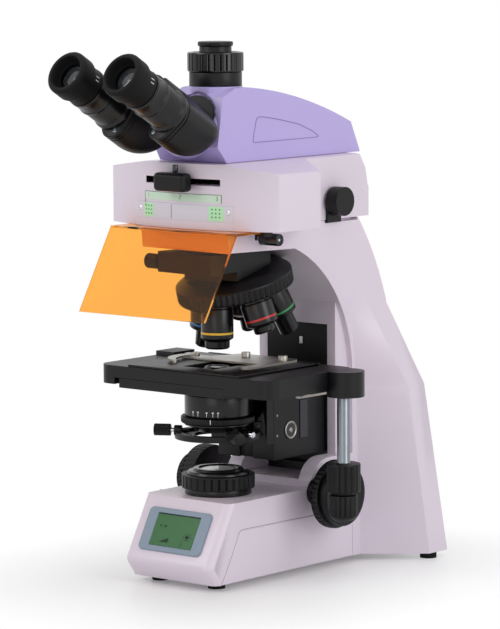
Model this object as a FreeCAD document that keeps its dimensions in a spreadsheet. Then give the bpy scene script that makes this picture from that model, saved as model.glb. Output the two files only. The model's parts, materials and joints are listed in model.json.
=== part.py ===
import FreeCAD, Part
import math
import os
import re

import Sketcher

# Upright fluorescence microscope, parametric model in millimetres.
# The optical axis is vertical. Every piece is drawn about that axis, with Z = 0 on the bench,
# X to the user's right and Y away from the user. put() then moves each piece so that the frame's
# origin lies on the bench under the middle of the whole instrument.

SIZES = [
    ("axis_x", -12, "optical axis from the frame's origin, across"),
    ("axis_y", -20, "optical axis from the frame's origin, front to back"),
    ("fit", 0.05, "radial running clearance of shafts in their bores"),
    ("gap", 0.3, "clearance between faces that slide past each other"),
    # stand
    ("base_half", 52, "half width of the base and of the arm"),
    ("foot_h", 6, "height of the rubber feet, and so of the base's underside"),
    ("deck_z", 79, "top of the base"),
    ("seam_z", 53, "parting line between the base casting and the tray"),
    ("seam_brow_y", 30.3, "front end of the parting line's level stretch"),
    ("seam_foot_y", 57, "front end of the parting line at the underside"),
    ("nose_foot_y", 64.2, "foot of the nose, in front of the axis"),
    ("nose_y", 75.8, "tip of the nose, in front of the axis"),
    ("nose_z", 21.9, "height of the nose's tip"),
    ("brow_y", 44.2, "front edge of the deck"),
    ("base_wall", 6, "wall of the base casting"),
    ("tray_wall", 3, "wall of the tray"),
    ("column_y", 134.5, "front of the arm's side plates below the arch"),
    ("block_y", 116, "front of the column between the side plates"),
    ("block_half", 46.3, "half width of the column's front"),
    ("shoulder_y", 72, "front of the shoulders over the focus shaft"),
    ("shoulder_z", 105, "top of the shoulders"),
    ("shoulder_r", 26, "radius over the shoulders' front edge"),
    ("step_z", 86, "top of the step between the shoulders"),
    ("arch_r", 132.8, "radius of the arch under the arm"),
    ("arch_foot_z", 185, "lower end of the arch"),
    ("arch_top_y", 50, "upper end of the arch, behind the axis"),
    ("beam_z", 305.5, "underside of the arm's head"),
    ("beam_y", 42, "front of the arm's head, in front of the axis"),
    ("block_top", 249, "top of the column's front face, on the arch"),
    ("arm_top", 328.3, "top of the arm, where the illuminator sits"),
    ("arm_top_y", 143.7, "rear edge of the arm's top"),
    ("back_r", 280, "radius of the arm's back"),
    ("back_mid_y", 197, "back of the arm where the curve turns straight"),
    ("back_mid_z", 202, "height of that place"),
    ("back_foot_y", 216, "back of the arm at the underside"),
    ("leg_top_z", 258, "upper end of the legs, inside the arm"),
    ("leg_top_half", 51, "half spread of the legs there"),
    ("leg_mid_z", 167, "where the legs stop spreading fast"),
    ("leg_mid_half", 87, "half spread of the legs there"),
    ("leg_foot_half", 103, "half spread of the legs at the underside"),
    ("leg_root_top", 136, "root of the leg's front face at its top"),
    ("leg_root_mid", 146, "root at the middle"),
    ("leg_root_foot", 153.5, "root at the underside"),
    ("leg_edge_top", 150, "front edge of the leg at its top"),
    ("leg_edge_mid", 176, "front edge at the middle"),
    ("leg_edge_foot", 188, "front edge at the underside"),
    ("leg_back_top", 178, "back of the leg at its top"),
    ("foot_r", 8, "radius of a rubber foot"),
    ("front_foot_x", 34, "front feet, to each side"),
    ("front_foot_y", 43, "front feet, in front of the axis"),
    ("rear_foot_x", 93, "rear feet, to each side"),
    ("rear_foot_y", 199, "rear feet, behind the axis"),
    # display
    ("bezel_half", 37.5, "half width of the display's bezel"),
    ("bezel_len", 42, "bezel along the slope"),
    ("bezel_h", 2.2, "bezel proud of the nose"),
    ("bezel_r", 5, "bezel's corner radius"),
    ("glass_half", 25.5, "half width of the display"),
    ("glass_len", 31.5, "display along the slope"),
    ("glass_h", 1.4, "thickness of the display's window"),
    # power inlet and switch
    ("inlet_x", -26, "centre of the power inlet"),
    ("inlet_z", 36, "height of the inlet and the switch"),
    ("inlet_half", 24, "half width of the inlet's flange"),
    ("inlet_tall", 14, "half height of the inlet's flange"),
    ("inlet_y", 215, "outer face of the inlet's flange"),
    ("inlet_deep", 26, "depth of the inlet's body"),
    ("socket_half", 12, "half width of the inlet's socket"),
    ("socket_tall", 8, "half height of the inlet's socket"),
    ("socket_deep", 15, "depth of the inlet's socket"),
    ("switch_x", 18, "centre of the power switch"),
    ("switch_half", 7, "half width of the rocker"),
    ("switch_tall", 10, "half height of the rocker"),
    # base optics
    ("mount_r", 31, "radius of the field lens mount"),
    ("mount_h", 5.5, "height of its flange"),
    ("collar_r", 28, "radius of its collar"),
    ("rim_z", 103, "top of the rim round the field lens"),
    ("rim_r", 23.5, "radius of that rim"),
    ("ring_r", 34, "radius of the field iris ring"),
    ("ring_top", 97.5, "top of the field iris ring"),
    ("field_lens_r", 17.5, "radius of the field lens"),
    ("field_bore", 15, "light path through the deck"),
    ("ribs", 32, "ribs round a knurled ring"),
    ("dimmer_y", -8, "brightness knob, front to back"),
    ("dimmer_z", 66, "height of the brightness knob"),
    ("dimmer_r", 11, "radius of the brightness knob"),
    ("dimmer_len", 11, "length of the brightness knob"),
    ("dimmer_stem", 3, "radius of its stem"),
    # focus drive
    ("focus_y", 77.5, "focus shaft, behind the axis"),
    ("focus_z", 75.5, "height of the focus shaft"),
    ("sleeve_r", 5, "radius of the coarse focus sleeve"),
    ("spindle_r", 3, "radius of the fine focus spindle"),
    ("coarse_r", 32, "radius of the coarse knobs"),
    ("coarse_left", 72, "inner face of the left coarse knob"),
    ("coarse_right", 72.5, "inner face of the right coarse knob"),
    ("coarse_left_w", 16, "width of the left coarse knob"),
    ("coarse_right_w", 8.5, "width of the right coarse knob"),
    ("hub_r", 13, "radius of the coarse knobs' hubs"),
    ("fine_left_r", 22.5, "radius of the left fine knob"),
    ("fine_right_r", 29, "radius of the right fine knob"),
    ("fine_left_w", 12, "width of the left fine knob"),
    ("fine_right_w", 8, "width of the right fine knob"),
    # focus slide and stage carrier
    ("panel_half", 36.6, "half width of the guide panel"),
    ("panel_top", 227.7, "top of the guide panel"),
    ("panel_deep", 14, "thickness of the guide panel"),
    ("guide_half", 22, "half width of the focus slide"),
    ("guide_thick", 9, "thickness of the focus slide"),
    ("guide_low", 112, "lower end of the focus slide"),
    ("guide_high", 164, "upper end of the focus slide"),
    ("guide_run", 18, "free length beyond the focus slide, up and down"),
    ("carrier_half", 34, "half width of the stage carrier"),
    ("carrier_y", 40, "front of the stage carrier"),
    ("carrier_low", 107, "underside of the stage carrier"),
    ("plate_low", 176, "underside of the stage's fixed plate"),
    ("plate_top", 185, "top of the stage's fixed plate"),
    ("plate_left", 78, "left edge of the fixed plate"),
    ("plate_right", 50, "right edge of the fixed plate"),
    ("plate_rear", 86, "rear edge of the fixed plate"),
    # stage
    ("stage_half", 104.3, "half width of the stage"),
    ("stage_front", 50.5, "front of the stage, in front of the axis"),
    ("stage_rear", 74, "rear of the stage, behind the axis"),
    ("stage_low", 179, "underside of the stage"),
    ("stage_top", 196.5, "top of the stage's frame"),
    ("stage_r", 14, "corner radius of the stage"),
    ("channel_gap", 5, "free space beside the fixed plate, left"),
    ("deck_half", 67, "half width of the stage's raised top"),
    ("deck_front", 49.5, "front edge of the raised top"),
    ("deck_rear", 68, "rear edge of the raised top"),
    ("deck_top", 198.5, "working surface of the stage"),
    ("slot_half", 18.5, "half width of the stage's opening"),
    ("slot_front", 27, "front end of the opening"),
    ("slot_rear", 58, "rear end of the opening"),
    ("pad_x", 82, "inner edge of the raised corner pad"),
    ("pad_front", 32, "front of the raised corner pad"),
    ("pad_rear", 62, "rear of the raised corner pad"),
    ("pad_top", 200.5, "top of the raised corner pad"),
    ("cap_x", 112, "stage drive, to the right"),
    ("cap_y", 49, "stage drive cap, behind the axis"),
    ("cap_r", 17.5, "radius of the stage drive cap"),
    ("cap_low", 173.5, "underside of the stage drive cap"),
    ("drive_y", 46, "stage drive shaft, behind the axis"),
    ("drive_r", 6, "radius of the stage drive tube"),
    ("stalk_r", 4, "radius of the inner drive shaft"),
    ("tall_knob_r", 15.6, "radius of the upper drive knob"),
    ("tall_knob_low", 85.5, "underside of the upper drive knob"),
    ("tall_knob_top", 112, "top of the upper drive knob"),
    ("low_knob_r", 13, "radius of the lower drive knob"),
    ("low_knob_low", 59, "underside of the lower drive knob"),
    ("low_knob_top", 82.5, "top of the lower drive knob"),
    ("rail_x", 62, "guide rail of the stage, to the right"),
    ("rail_w", 12, "width of that rail"),
    # slide holder
    ("holder_thick", 2, "thickness of the slide holder"),
    ("holder_left", 60, "left end of the slide holder"),
    ("holder_right", 49, "right end of the slide holder"),
    ("holder_front", 14, "edge that the slide rests against"),
    ("holder_rear", 48, "rear edge of the slide holder"),
    ("jaw_x", 38.2, "fixed jaw, half a slide's length from the axis"),
    ("jaw_front", 13, "front end of the fixed jaw"),
    ("pivot_x", 50, "finger's pivot, to the left"),
    ("pivot_y", 29, "finger's pivot, behind the axis"),
    ("pivot_r", 4.5, "radius of the finger's hub"),
    ("pin_r", 1.6, "radius of the finger's pivot pin"),
    ("finger_r", 42, "radius of the spring finger's curve"),
    ("finger_w", 5, "width of the spring finger"),
    # condenser
    ("fork_y", 21, "rear of the condenser fork's ring, in front of the carrier"),
    ("fork_r", 40, "outer radius of the condenser fork"),
    ("seat_r", 33.2, "radius of the condenser's seat"),
    ("fork_low", 131, "underside of the fork"),
    ("fork_top", 145, "top of the fork"),
    ("body_r", 30.7, "radius of the condenser"),
    ("iris_r", 34.3, "radius of the aperture ring"),
    ("iris_low", 147, "underside of the aperture ring"),
    ("iris_top", 156, "top of the aperture ring"),
    ("body_top", 172, "top of the condenser's body"),
    ("cone_top", 175.3, "shoulder under the top lens"),
    ("tip_r", 15, "radius of the top lens mount"),
    ("tip_top", 197.5, "top of the top lens mount"),
    ("tip_lens_r", 9, "radius of the top lens"),
    ("screw_angle", 60, "centring screws, from straight ahead"),
    ("screw_r", 5.6, "radius of a centring screw's head"),
    ("screw_in", 44.5, "inner end of the head, from the axis"),
    ("screw_out", 60, "outer end of the head, from the axis"),
    ("screw_z", 137, "height of the centring screws"),
    ("stem_r", 1.8, "radius of a centring screw's stem"),
    ("lift_y", 64.5, "condenser focus shaft, behind the axis"),
    ("lift_z", 136, "height of the condenser focus shaft"),
    ("lift_r", 6, "radius of the condenser focus shaft"),
    ("lift_knob_r", 13, "radius of the condenser focus knob"),
    ("lift_knob_w", 13, "width of the condenser focus knob"),
    # nosepiece and objectives
    ("tilt", 15, "tilt of the nosepiece's axis, and of each objective to it"),
    ("seat_z", 263, "seat of the working objective"),
    ("reach", 107.7, "objective seat from the point where all axes meet"),
    ("turret_r", 54, "radius of the nosepiece's knurled ring"),
    ("turret_band", 14, "height of the knurled band"),
    ("turret_dome_r", 45, "radius of the dome over the band"),
    ("turret_neck_r", 27, "radius of the nosepiece's bearing"),
    ("turret_up", 17, "height of the dome over the band's middle"),
    ("mount_half", 31, "half width of the nosepiece's block"),
    ("mount_front", 45, "front of the block, in front of the axis"),
    ("mount_rear", 40, "rear of the block, behind the axis"),
    ("mount_low", 287, "underside of the block at the front"),
    ("objective_r", 15, "radius of an objective's barrel"),
    ("thread_r", 12.5, "radius of an objective's thread"),
    ("thread_len", 5, "length of an objective's thread"),
    ("slider_y", 36, "accessory slider, in front of the axis"),
    ("slider_z", 292, "height of the accessory slider"),
    ("slider_r", 6.8, "radius of the accessory slider's knob"),
    # illuminator
    ("lamp_low", 328.6, "underside of the illuminator"),
    ("lamp_top", 388, "top of the illuminator"),
    ("lamp_half", 102.3, "half width of the illuminator's front box"),
    ("lamp_corner_y", 30.4, "front corners of the box, in front of the axis"),
    ("lamp_front_r", 262, "radius of the box's front face"),
    ("lamp_side_y", 26, "rear corners of the box, behind the axis"),
    ("lamp_join_y", 66, "where the box meets the rear body"),
    ("lamp_tail_y", 160, "rear of the rear body"),
    ("lamp_tail_top", 146.5, "rear of the rear body at its top"),
    ("lamp_tail_z", 357, "height where the rear starts to lean"),
    ("crown_half", 46, "half width of the level crown"),
    ("crown_drop", 8, "drop of the box's top from the crown to its sides"),
    ("path_r", 14, "light path through the illuminator"),
    ("bay_half", 97, "half width of the filter bay"),
    ("bay_front", 24, "front of the filter bay"),
    ("bay_rear", 22, "rear of the filter bay"),
    ("bay_low", 333, "floor of the filter bay"),
    ("bay_top", 377, "ceiling of the filter bay"),
    ("slot_w", 44.5, "half width of the slider's slot"),
    ("slot_z", 371.5, "height of the slider's slot"),
    ("slot_tall", 3.1, "half height of the slider's slot"),
    ("cube", 34, "edge of a filter cube"),
    ("cube_pitch", 38, "distance between filter cubes"),
    ("handle_half", 18.5, "half width of the slider's handle"),
    ("handle_tall", 17, "height of the slider's handle"),
    ("handle_front", 68, "front of the slider's handle"),
    ("handle_rear", 54, "rear of the slider's handle"),
    ("strip_half", 45.7, "half width of the scale strip"),
    ("strip_z", 357, "height of the scale strip"),
    ("strip_tall", 3.6, "half height of the scale strip"),
    ("label_half", 58, "half width of the label plate"),
    ("label_z", 343.5, "height of the label plate"),
    ("label_tall", 7.5, "half height of the label plate"),
    ("selector_y", 105, "selector knob, behind the axis"),
    ("selector_z", 346, "height of the selector knob"),
    ("selector_r", 13.5, "radius of the selector knob"),
    ("selector_w", 13, "width of the selector knob"),
    ("tab_half", 10, "half width of the selector's tab"),
    ("tab_thick", 2.4, "thickness of the selector's tab"),
    ("groove_front", 94, "front end of the selector's groove"),
    ("groove_rear", 143, "rear end of the selector's groove"),
    ("groove_deep", 8, "depth of the selector's groove"),
    ("groove_tall", 2.6, "height of the selector's groove"),
    ("rod_y", 3, "shutter rod, behind the axis"),
    ("rod_z", 318, "height of the shutter rod"),
    ("rod_r", 5.6, "radius of the shutter rod"),
    ("rod_out", 73, "outer end of the shutter rod"),
    ("rod_in", 34, "inner end of the shutter rod"),
    # shield
    ("shield_half", 75.5, "half width of the shield"),
    ("shield_thick", 2.4, "thickness of the shield"),
    ("shield_top_y", 61.5, "front edge of the shield's flange"),
    ("shield_top_z", 328.3, "top of the shield's flange"),
    ("shield_foot_y", 106, "lower edge of the shield, in front of the axis"),
    ("shield_foot_z", 252.5, "lower edge of the shield"),
    ("shield_rear", 22, "rear edge of the flange, in front of the axis"),
    ("shield_r", 9, "radius of the shield's lower corners"),
    # head
    ("head_gap", 0.4, "gap between the illuminator and the head"),
    ("head_half", 40, "half width of the head's foot"),
    ("head_top_half", 31, "half width of the head's top"),
    ("head_front", 32, "front of the head's foot"),
    ("chin_y", 42.4, "head's chin, in front of the axis"),
    ("chin_up", 15, "head's chin, above the illuminator"),
    ("forehead_y", 27.6, "head's forehead, in front of the axis"),
    ("forehead_up", 59.3, "head's forehead, above the illuminator"),
    ("crest_up", 67.5, "top of the head, above the illuminator"),
    ("head_roof_r", 445, "radius of the head's roof"),
    ("head_tail_y", 153, "upper rear corner of the head"),
    ("tail_up", 29, "rear corner of the head, above the illuminator"),
    ("head_rear", 162, "rear of the head's foot"),
    ("collar_up", 68, "top of the photo tube's collar, above the illuminator"),
    ("collar_round", 24.8, "radius of that collar"),
    ("photo_r", 24.2, "radius of the photo tube"),
    ("photo_low_h", 13.2, "height of the photo tube's plain part"),
    ("photo_ring_r", 25.8, "radius of the photo tube's ring"),
    ("photo_ring_h", 17.8, "height of the photo tube's ring"),
    ("photo_neck_r", 14.8, "radius of the camera seat"),
    ("photo_neck_h", 5.2, "height of the camera seat"),
    ("photo_bore", 11.5, "light path through the camera seat"),
    ("dust_r", 16.2, "radius of the dust cap"),
    ("dust_h", 4.3, "height of the dust cap"),
    # eyepiece arms
    ("gaze", 30, "eyepieces above the horizontal"),
    ("hinge_y", -36.5, "hinge of the eyepiece arms, front to back"),
    ("hinge_up", 35.5, "arms' hinge, above the illuminator"),
    ("disc_r", 27.5, "radius of the hinge's disc"),
    ("disc_h", 2.4, "thickness of the hinge's disc"),
    ("barrel_r", 17.5, "radius of the hinge's barrel"),
    ("barrel_h", 61, "length of the hinge's barrel"),
    ("pupil_half", 32.7, "half the distance between the eyepieces"),
    ("pupil_drop", 20.4, "eyepieces below the hinge"),
    ("arm_low", 2.8, "rear end of an eyepiece arm"),
    ("arm_high", 63.8, "front end of an eyepiece arm's housing"),
    ("knuckle_r", 17, "radius of an arm's knuckle on the hinge"),
    ("knuckle_split", 32.6, "joint between the two knuckles"),
    ("hinge_pin_r", 9, "radius of the hinge's pin"),
    ("face_high", 71.6, "front of the arm's front plate"),
    ("tube_r", 17.8, "radius of the eyepiece tube"),
    ("tube_bore", 15, "bore of the eyepiece tube"),
    ("tube_top", 89.6, "end of the eyepiece tube"),
    ("ocular_low", 50, "rear end of an eyepiece"),
    ("ocular_r", 19.5, "radius of an eyepiece's body"),
    ("ocular_top", 107.4, "front of an eyepiece's body"),
    ("diopter_r", 18.7, "radius of the diopter ring"),
    ("diopter_top", 120, "front of the diopter ring"),
    ("eyecup_r", 21, "radius of an eyecup"),
    ("eyecup_top", 137.8, "front of an eyecup"),
    ("eye_neck_r", 15.5, "radius of an eyepiece's neck inside its ring"),
    ("eye_neck_top", 126, "front of that neck"),
    ("eye_lens_r", 11, "radius of an eye lens"),
]

doc = FreeCAD.newDocument("fluorescence_microscope")
sizes = doc.addObject("Spreadsheet::Sheet", "sizes")
for row, (alias, number, note) in enumerate(SIZES, start=1):
    sizes.set(f"A{row}", note)
    sizes.set(f"B{row}", str(number))
    sizes.setAlias(f"B{row}", alias)
doc.recompute()

ALIASES = {alias for alias, number, note in SIZES}
NODES = []
V = FreeCAD.Vector
X, Y, Z = V(1, 0, 0), V(0, 1, 0), V(0, 0, 1)


# Reading the sheet


def bound(text):
    """An expression over the sheet, with each alias written as a reference to its cell."""
    return re.sub(r"[a-z_]+", lambda word: "sizes." + word[0] if word[0] in ALIASES else word[0], text)


def value(text):
    """The number that an expression over the sheet gives now."""
    return float(sizes.evalExpression(bound(text)))


# Placing pieces


def node(piece, label):
    """Names a finished piece; the label is its file's name."""
    piece.Label = label
    NODES.append(piece)
    return piece


def put(piece, x="0", y="0", z="0", turn=None):
    """Places a piece about the optical axis, turned by a rotation where it has one."""
    if turn is not None:
        piece.Placement = FreeCAD.Placement(V(0, 0, 0), turn)
    piece.setExpression("Placement.Base.x", bound(f"axis_x + {x}"))
    piece.setExpression("Placement.Base.y", bound(f"axis_y + {y}"))
    piece.setExpression("Placement.Base.z", bound(z))
    return piece


# Part Design helpers


def settle(feature):
    """Recomputes and stops at a feature that could not be made."""
    doc.recompute()
    if "Invalid" in feature.State:
        raise RuntimeError(f"{feature.Name}: {feature.getStatusString()}")
    return feature


def new_body(name):
    return doc.addObject("PartDesign::Body", name)


def origin_item(body, role):
    return next(item for item in body.Origin.OriginFeatures if item.Role == role)


def new_sketch(body, plane="XY_Plane", lift="0"):
    """A sketch on one of the body's own planes, lifted along the plane's normal."""
    sketch = body.newObject("Sketcher::SketchObject", "sketch")
    sketch.AttachmentSupport = (origin_item(body, plane), [""])
    sketch.MapMode = "FlatFace"
    if lift != "0":
        sketch.setExpression("AttachmentOffset.Base.z", bound(lift))
    return sketch


def pin_point(sketch, index, end, x, y):
    """Ties one end of a sketch line to two expressions of the sheet."""
    for kind, text, axis in (("DistanceX", x, -2), ("DistanceY", y, -1)):
        if text == "0":
            sketch.addConstraint(Sketcher.Constraint("PointOnObject", index, end, axis))
            continue
        number = sketch.addConstraint(Sketcher.Constraint(kind, -1, 1, index, end, value(text)))
        sketch.setExpression(f"Constraints[{number}]", bound(text))


def arc_through(start, end, radius):
    """A short arc that runs anticlockwise from one point to another."""
    chord = end - start
    left = V(-chord.y, chord.x, 0).normalize()
    away = math.sqrt(max(radius**2 - (chord.Length / 2) ** 2, 0))
    centre = (start + end) * 0.5 + left * away
    return Part.Arc(start, centre - left * radius, end)


def outline(sketch, corners):
    """A closed outline. A corner is (x, y), or (x, y, radius) where an arc runs to the next one.

    The arc's centre lies on the left of the way to the next corner, or with a minus on its right.
    """
    spots = [V(value(corner[0]), value(corner[1]), 0) for corner in corners]
    first = sketch.GeometryCount
    ends = []
    for place, corner in enumerate(corners):
        start, end = spots[place], spots[(place + 1) % len(spots)]
        if len(corner) == 3 and value(corner[2]) > 0:
            sketch.addGeometry(arc_through(start, end, value(corner[2])))
            ends.append((1, 2))
        elif len(corner) == 3:
            sketch.addGeometry(arc_through(end, start, -value(corner[2])))
            ends.append((2, 1))
        else:
            sketch.addGeometry(Part.LineSegment(start, end))
            ends.append((1, 2))
    for place, corner in enumerate(corners):
        index = first + place
        following = (place + 1) % len(corners)
        joint = Sketcher.Constraint(
            "Coincident", index, ends[place][1], first + following, ends[following][0]
        )
        sketch.addConstraint(joint)
        pin_point(sketch, index, ends[place][0], corner[0], corner[1])
        if len(corner) == 3:
            size = abs(value(corner[2]))
            number = sketch.addConstraint(Sketcher.Constraint("Radius", index, size))
            sketch.setExpression(f"Constraints[{number}]", bound(f"abs({corner[2]})"))
    return sketch


def rectangle(sketch, left, low, right, high):
    return outline(sketch, [(left, low), (right, low), (right, high), (left, high)])


def circle(sketch, x, y, radius):
    index = sketch.addGeometry(Part.Circle(V(value(x), value(y), 0), Z, value(radius)))
    pin_point(sketch, index, 3, x, y)
    number = sketch.addConstraint(Sketcher.Constraint("Radius", index, value(radius)))
    sketch.setExpression(f"Constraints[{number}]", bound(radius))
    return sketch


def pad(body, sketch, length, both=False, back=False):
    """Adds the sketch's outline: along its normal, against it, or half each way."""
    feature = body.newObject("PartDesign::Pad", "pad")
    feature.Profile = sketch
    feature.SideType = "Symmetric" if both else "One side"
    feature.Reversed = back
    feature.setExpression("Length", bound(length))
    return settle(feature)


def cut(body, sketch, length, both=False, back=False):
    """Takes the outline away: against the sketch's normal, along it (back), or half each way."""
    before = body.Shape.Volume
    feature = body.newObject("PartDesign::Pocket", "pocket")
    feature.Profile = sketch
    feature.SideType = "Symmetric" if both else "One side"
    feature.Reversed = back
    feature.setExpression("Length", bound(length))
    settle(feature)
    if body.Shape.Volume > before - 1e-3:
        raise RuntimeError(f"{body.Name}: {feature.Name} takes nothing away")
    return feature


def revolve(body, corners):
    """Turns an outline of (radius, height) corners about the body's own Z axis."""
    sketch = outline(new_sketch(body, "XZ_Plane"), corners)
    feature = body.newObject("PartDesign::Revolution", "revolution")
    feature.Profile = sketch
    feature.ReferenceAxis = (sketch, ["V_Axis"])
    feature.Angle = 360
    return settle(feature)


def turned(name, corners):
    body = new_body(name)
    revolve(body, corners)
    return body


def ring(low, high, inner, outer, edge="0.6"):
    """Corners of a plain ring with its outer edges broken."""
    return [
        (inner, low),
        (f"{outer} - {edge}", low),
        (outer, f"{low} + {edge}"),
        (outer, f"{high} - {edge}"),
        (f"{outer} - {edge}", high),
        (inner, high),
    ]


def around(body, feature, count):
    """Repeats a feature round the body's Z axis."""
    pattern = body.newObject("PartDesign::PolarPattern", "pattern")
    pattern.Originals = [feature]
    pattern.Axis = (origin_item(body, "Z_Axis"), [""])
    pattern.Angle = 360
    pattern.setExpression("Occurrences", bound(count))
    body.Tip = pattern
    return settle(pattern)


def knurl(body, radius, low, high, count="ribs", groove="1.3"):
    """Cuts grooves along a round rim, one groove and its polar pattern."""
    sketch = circle(new_sketch(body, "XY_Plane", low), radius, "0", groove)
    groove_cut = cut(body, sketch, f"{high} - ({low})", back=True)
    around(body, groove_cut, count)


def edges_of(body, wanted):
    """Names of the edges of the body's last feature that a test picks."""
    return [
        f"Edge{number}"
        for number, edge in enumerate(body.Tip.Shape.Edges, start=1)
        if wanted(edge)
    ]


def round_off(body, radius, wanted):
    names = edges_of(body, wanted)
    if not names:
        raise RuntimeError(f"{body.Name}: no edge to round")
    tip = body.Tip
    feature = body.newObject("PartDesign::Fillet", "fillet")
    feature.Base = (tip, names)
    feature.setExpression("Radius", bound(radius))
    return settle(feature)


def upright(edge):
    """True for a straight edge parallel to Z."""
    if edge.Curve.TypeId != "Part::GeomLine":
        return False
    return abs(edge.Curve.Direction.z) > 0.999


# Part helpers


def block(low, high):
    """A box between two corners, each three expressions."""
    box = doc.addObject("Part::Box", "box")
    for side, axis, start, end in zip(("Length", "Width", "Height"), "xyz", low, high):
        box.setExpression(side, bound(f"({end}) - ({start})"))
        box.setExpression(f"Placement.Base.{axis}", bound(start))
    return box


def rod(radius, length, at, turn=None):
    """A cylinder from a point along Z, or along the turned Z."""
    cylinder = doc.addObject("Part::Cylinder", "cylinder")
    if turn is not None:
        cylinder.Placement = FreeCAD.Placement(V(0, 0, 0), turn)
    cylinder.setExpression("Radius", bound(radius))
    cylinder.setExpression("Height", bound(length))
    for axis, text in zip("xyz", at):
        cylinder.setExpression(f"Placement.Base.{axis}", bound(text))
    return cylinder


def fused(pieces):
    result = doc.addObject("Part::MultiFuse", "fuse")
    result.Shapes = pieces
    return result


def cut_away(base, tools):
    result = doc.addObject("Part::Cut", "cut")
    result.Base = base
    result.Tool = tools[0] if len(tools) == 1 else fused(tools)
    return result


def group(pieces):
    result = doc.addObject("Part::Compound", "group")
    result.Links = pieces
    return result


ALONG_X = FreeCAD.Rotation(Y, 90)
AGAINST_X = FreeCAD.Rotation(Y, -90)


# Stand


def base_tray():
    body = new_body("base_tray_body")
    side = outline(
        new_sketch(body, "YZ_Plane"),
        [
            ("-seam_foot_y + gap", "foot_h"),
            ("column_y", "foot_h"),
            ("column_y", "seam_z"),
            ("-seam_brow_y + gap", "seam_z"),
        ],
    )
    pad(body, side, "2 * base_half", both=True)
    inside = rectangle(
        new_sketch(body, "XY_Plane", "seam_z"),
        "-base_half + tray_wall",
        "-seam_brow_y + tray_wall",
        "base_half - tray_wall",
        "column_y - tray_wall",
    )
    cut(body, inside, "seam_z - foot_h - tray_wall")
    put(node(body, "base_tray"))


def base_casting():
    body = new_body("base_casting_body")
    side = outline(
        new_sketch(body, "YZ_Plane"),
        [
            ("-nose_foot_y", "foot_h"),
            ("-seam_foot_y", "foot_h"),
            ("-seam_brow_y", "seam_z"),
            ("column_y", "seam_z"),
            ("column_y", "deck_z"),
            ("-brow_y", "deck_z"),
            ("-nose_y", "nose_z"),
        ],
    )
    pad(body, side, "2 * base_half", both=True)
    half = value("base_half")
    front = -value("brow_y") + 1
    nose = value("nose_z")

    def nose_corner(edge):
        ends = [vertex.Point for vertex in edge.Vertexes]
        outside = all(abs(abs(p.x) - half) < 1e-3 and p.y < front for p in ends)
        return outside and any(abs(p.z - nose) < 1e-3 for p in ends)

    round_off(body, "base_wall + 2", nose_corner)
    step = rectangle(
        new_sketch(body, "XY_Plane", "deck_z"),
        "-panel_half",
        "shoulder_y",
        "panel_half",
        "block_y",
    )
    pad(body, step, "step_z - deck_z")
    for low, high, rear in (
        ("panel_half", "block_half", "block_y"),
        ("block_half", "base_half", "column_y"),
    ):
        for start in (low, f"-({high})"):
            shoulder = outline(
                new_sketch(body, "YZ_Plane", start),
                [
                    ("shoulder_y", "deck_z"),
                    (rear, "deck_z"),
                    (rear, "shoulder_z"),
                    ("shoulder_y + shoulder_r", "shoulder_z", "shoulder_r"),
                ],
            )
            pad(body, shoulder, f"{high} - {low}")
    room = rectangle(
        new_sketch(body, "XY_Plane", "seam_z"),
        "-base_half + base_wall",
        "-seam_brow_y + base_wall",
        "base_half - base_wall",
        "column_y - base_wall",
    )
    cut(body, room, "deck_z - base_wall - seam_z", back=True)
    light = circle(new_sketch(body, "XY_Plane", "deck_z"), "0", "0", "field_bore")
    cut(body, light, "base_wall + 1")
    bearing = circle(new_sketch(body, "YZ_Plane"), "focus_y", "focus_z", "sleeve_r + fit")
    cut(body, bearing, "2 * base_half + 2", both=True)
    stem = circle(new_sketch(body, "YZ_Plane", "-base_half"), "dimmer_y", "dimmer_z", "dimmer_stem + fit")
    cut(body, stem, "base_wall + 1", back=True)
    put(node(body, "base_casting"))


def leg_section(body, side, height, root, edge, back, spread):
    """One level section through a leg, from inside the arm out to the leg's edge."""
    inner = "base_half - 1.5"
    corners = [(inner, f"{root} - 8"), (spread, edge), (spread, back), (inner, back)]
    if side < 0:
        corners = [(f"-({x})", y) for x, y in reversed(corners)]
    return outline(new_sketch(body, "XY_Plane", height), corners)


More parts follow.
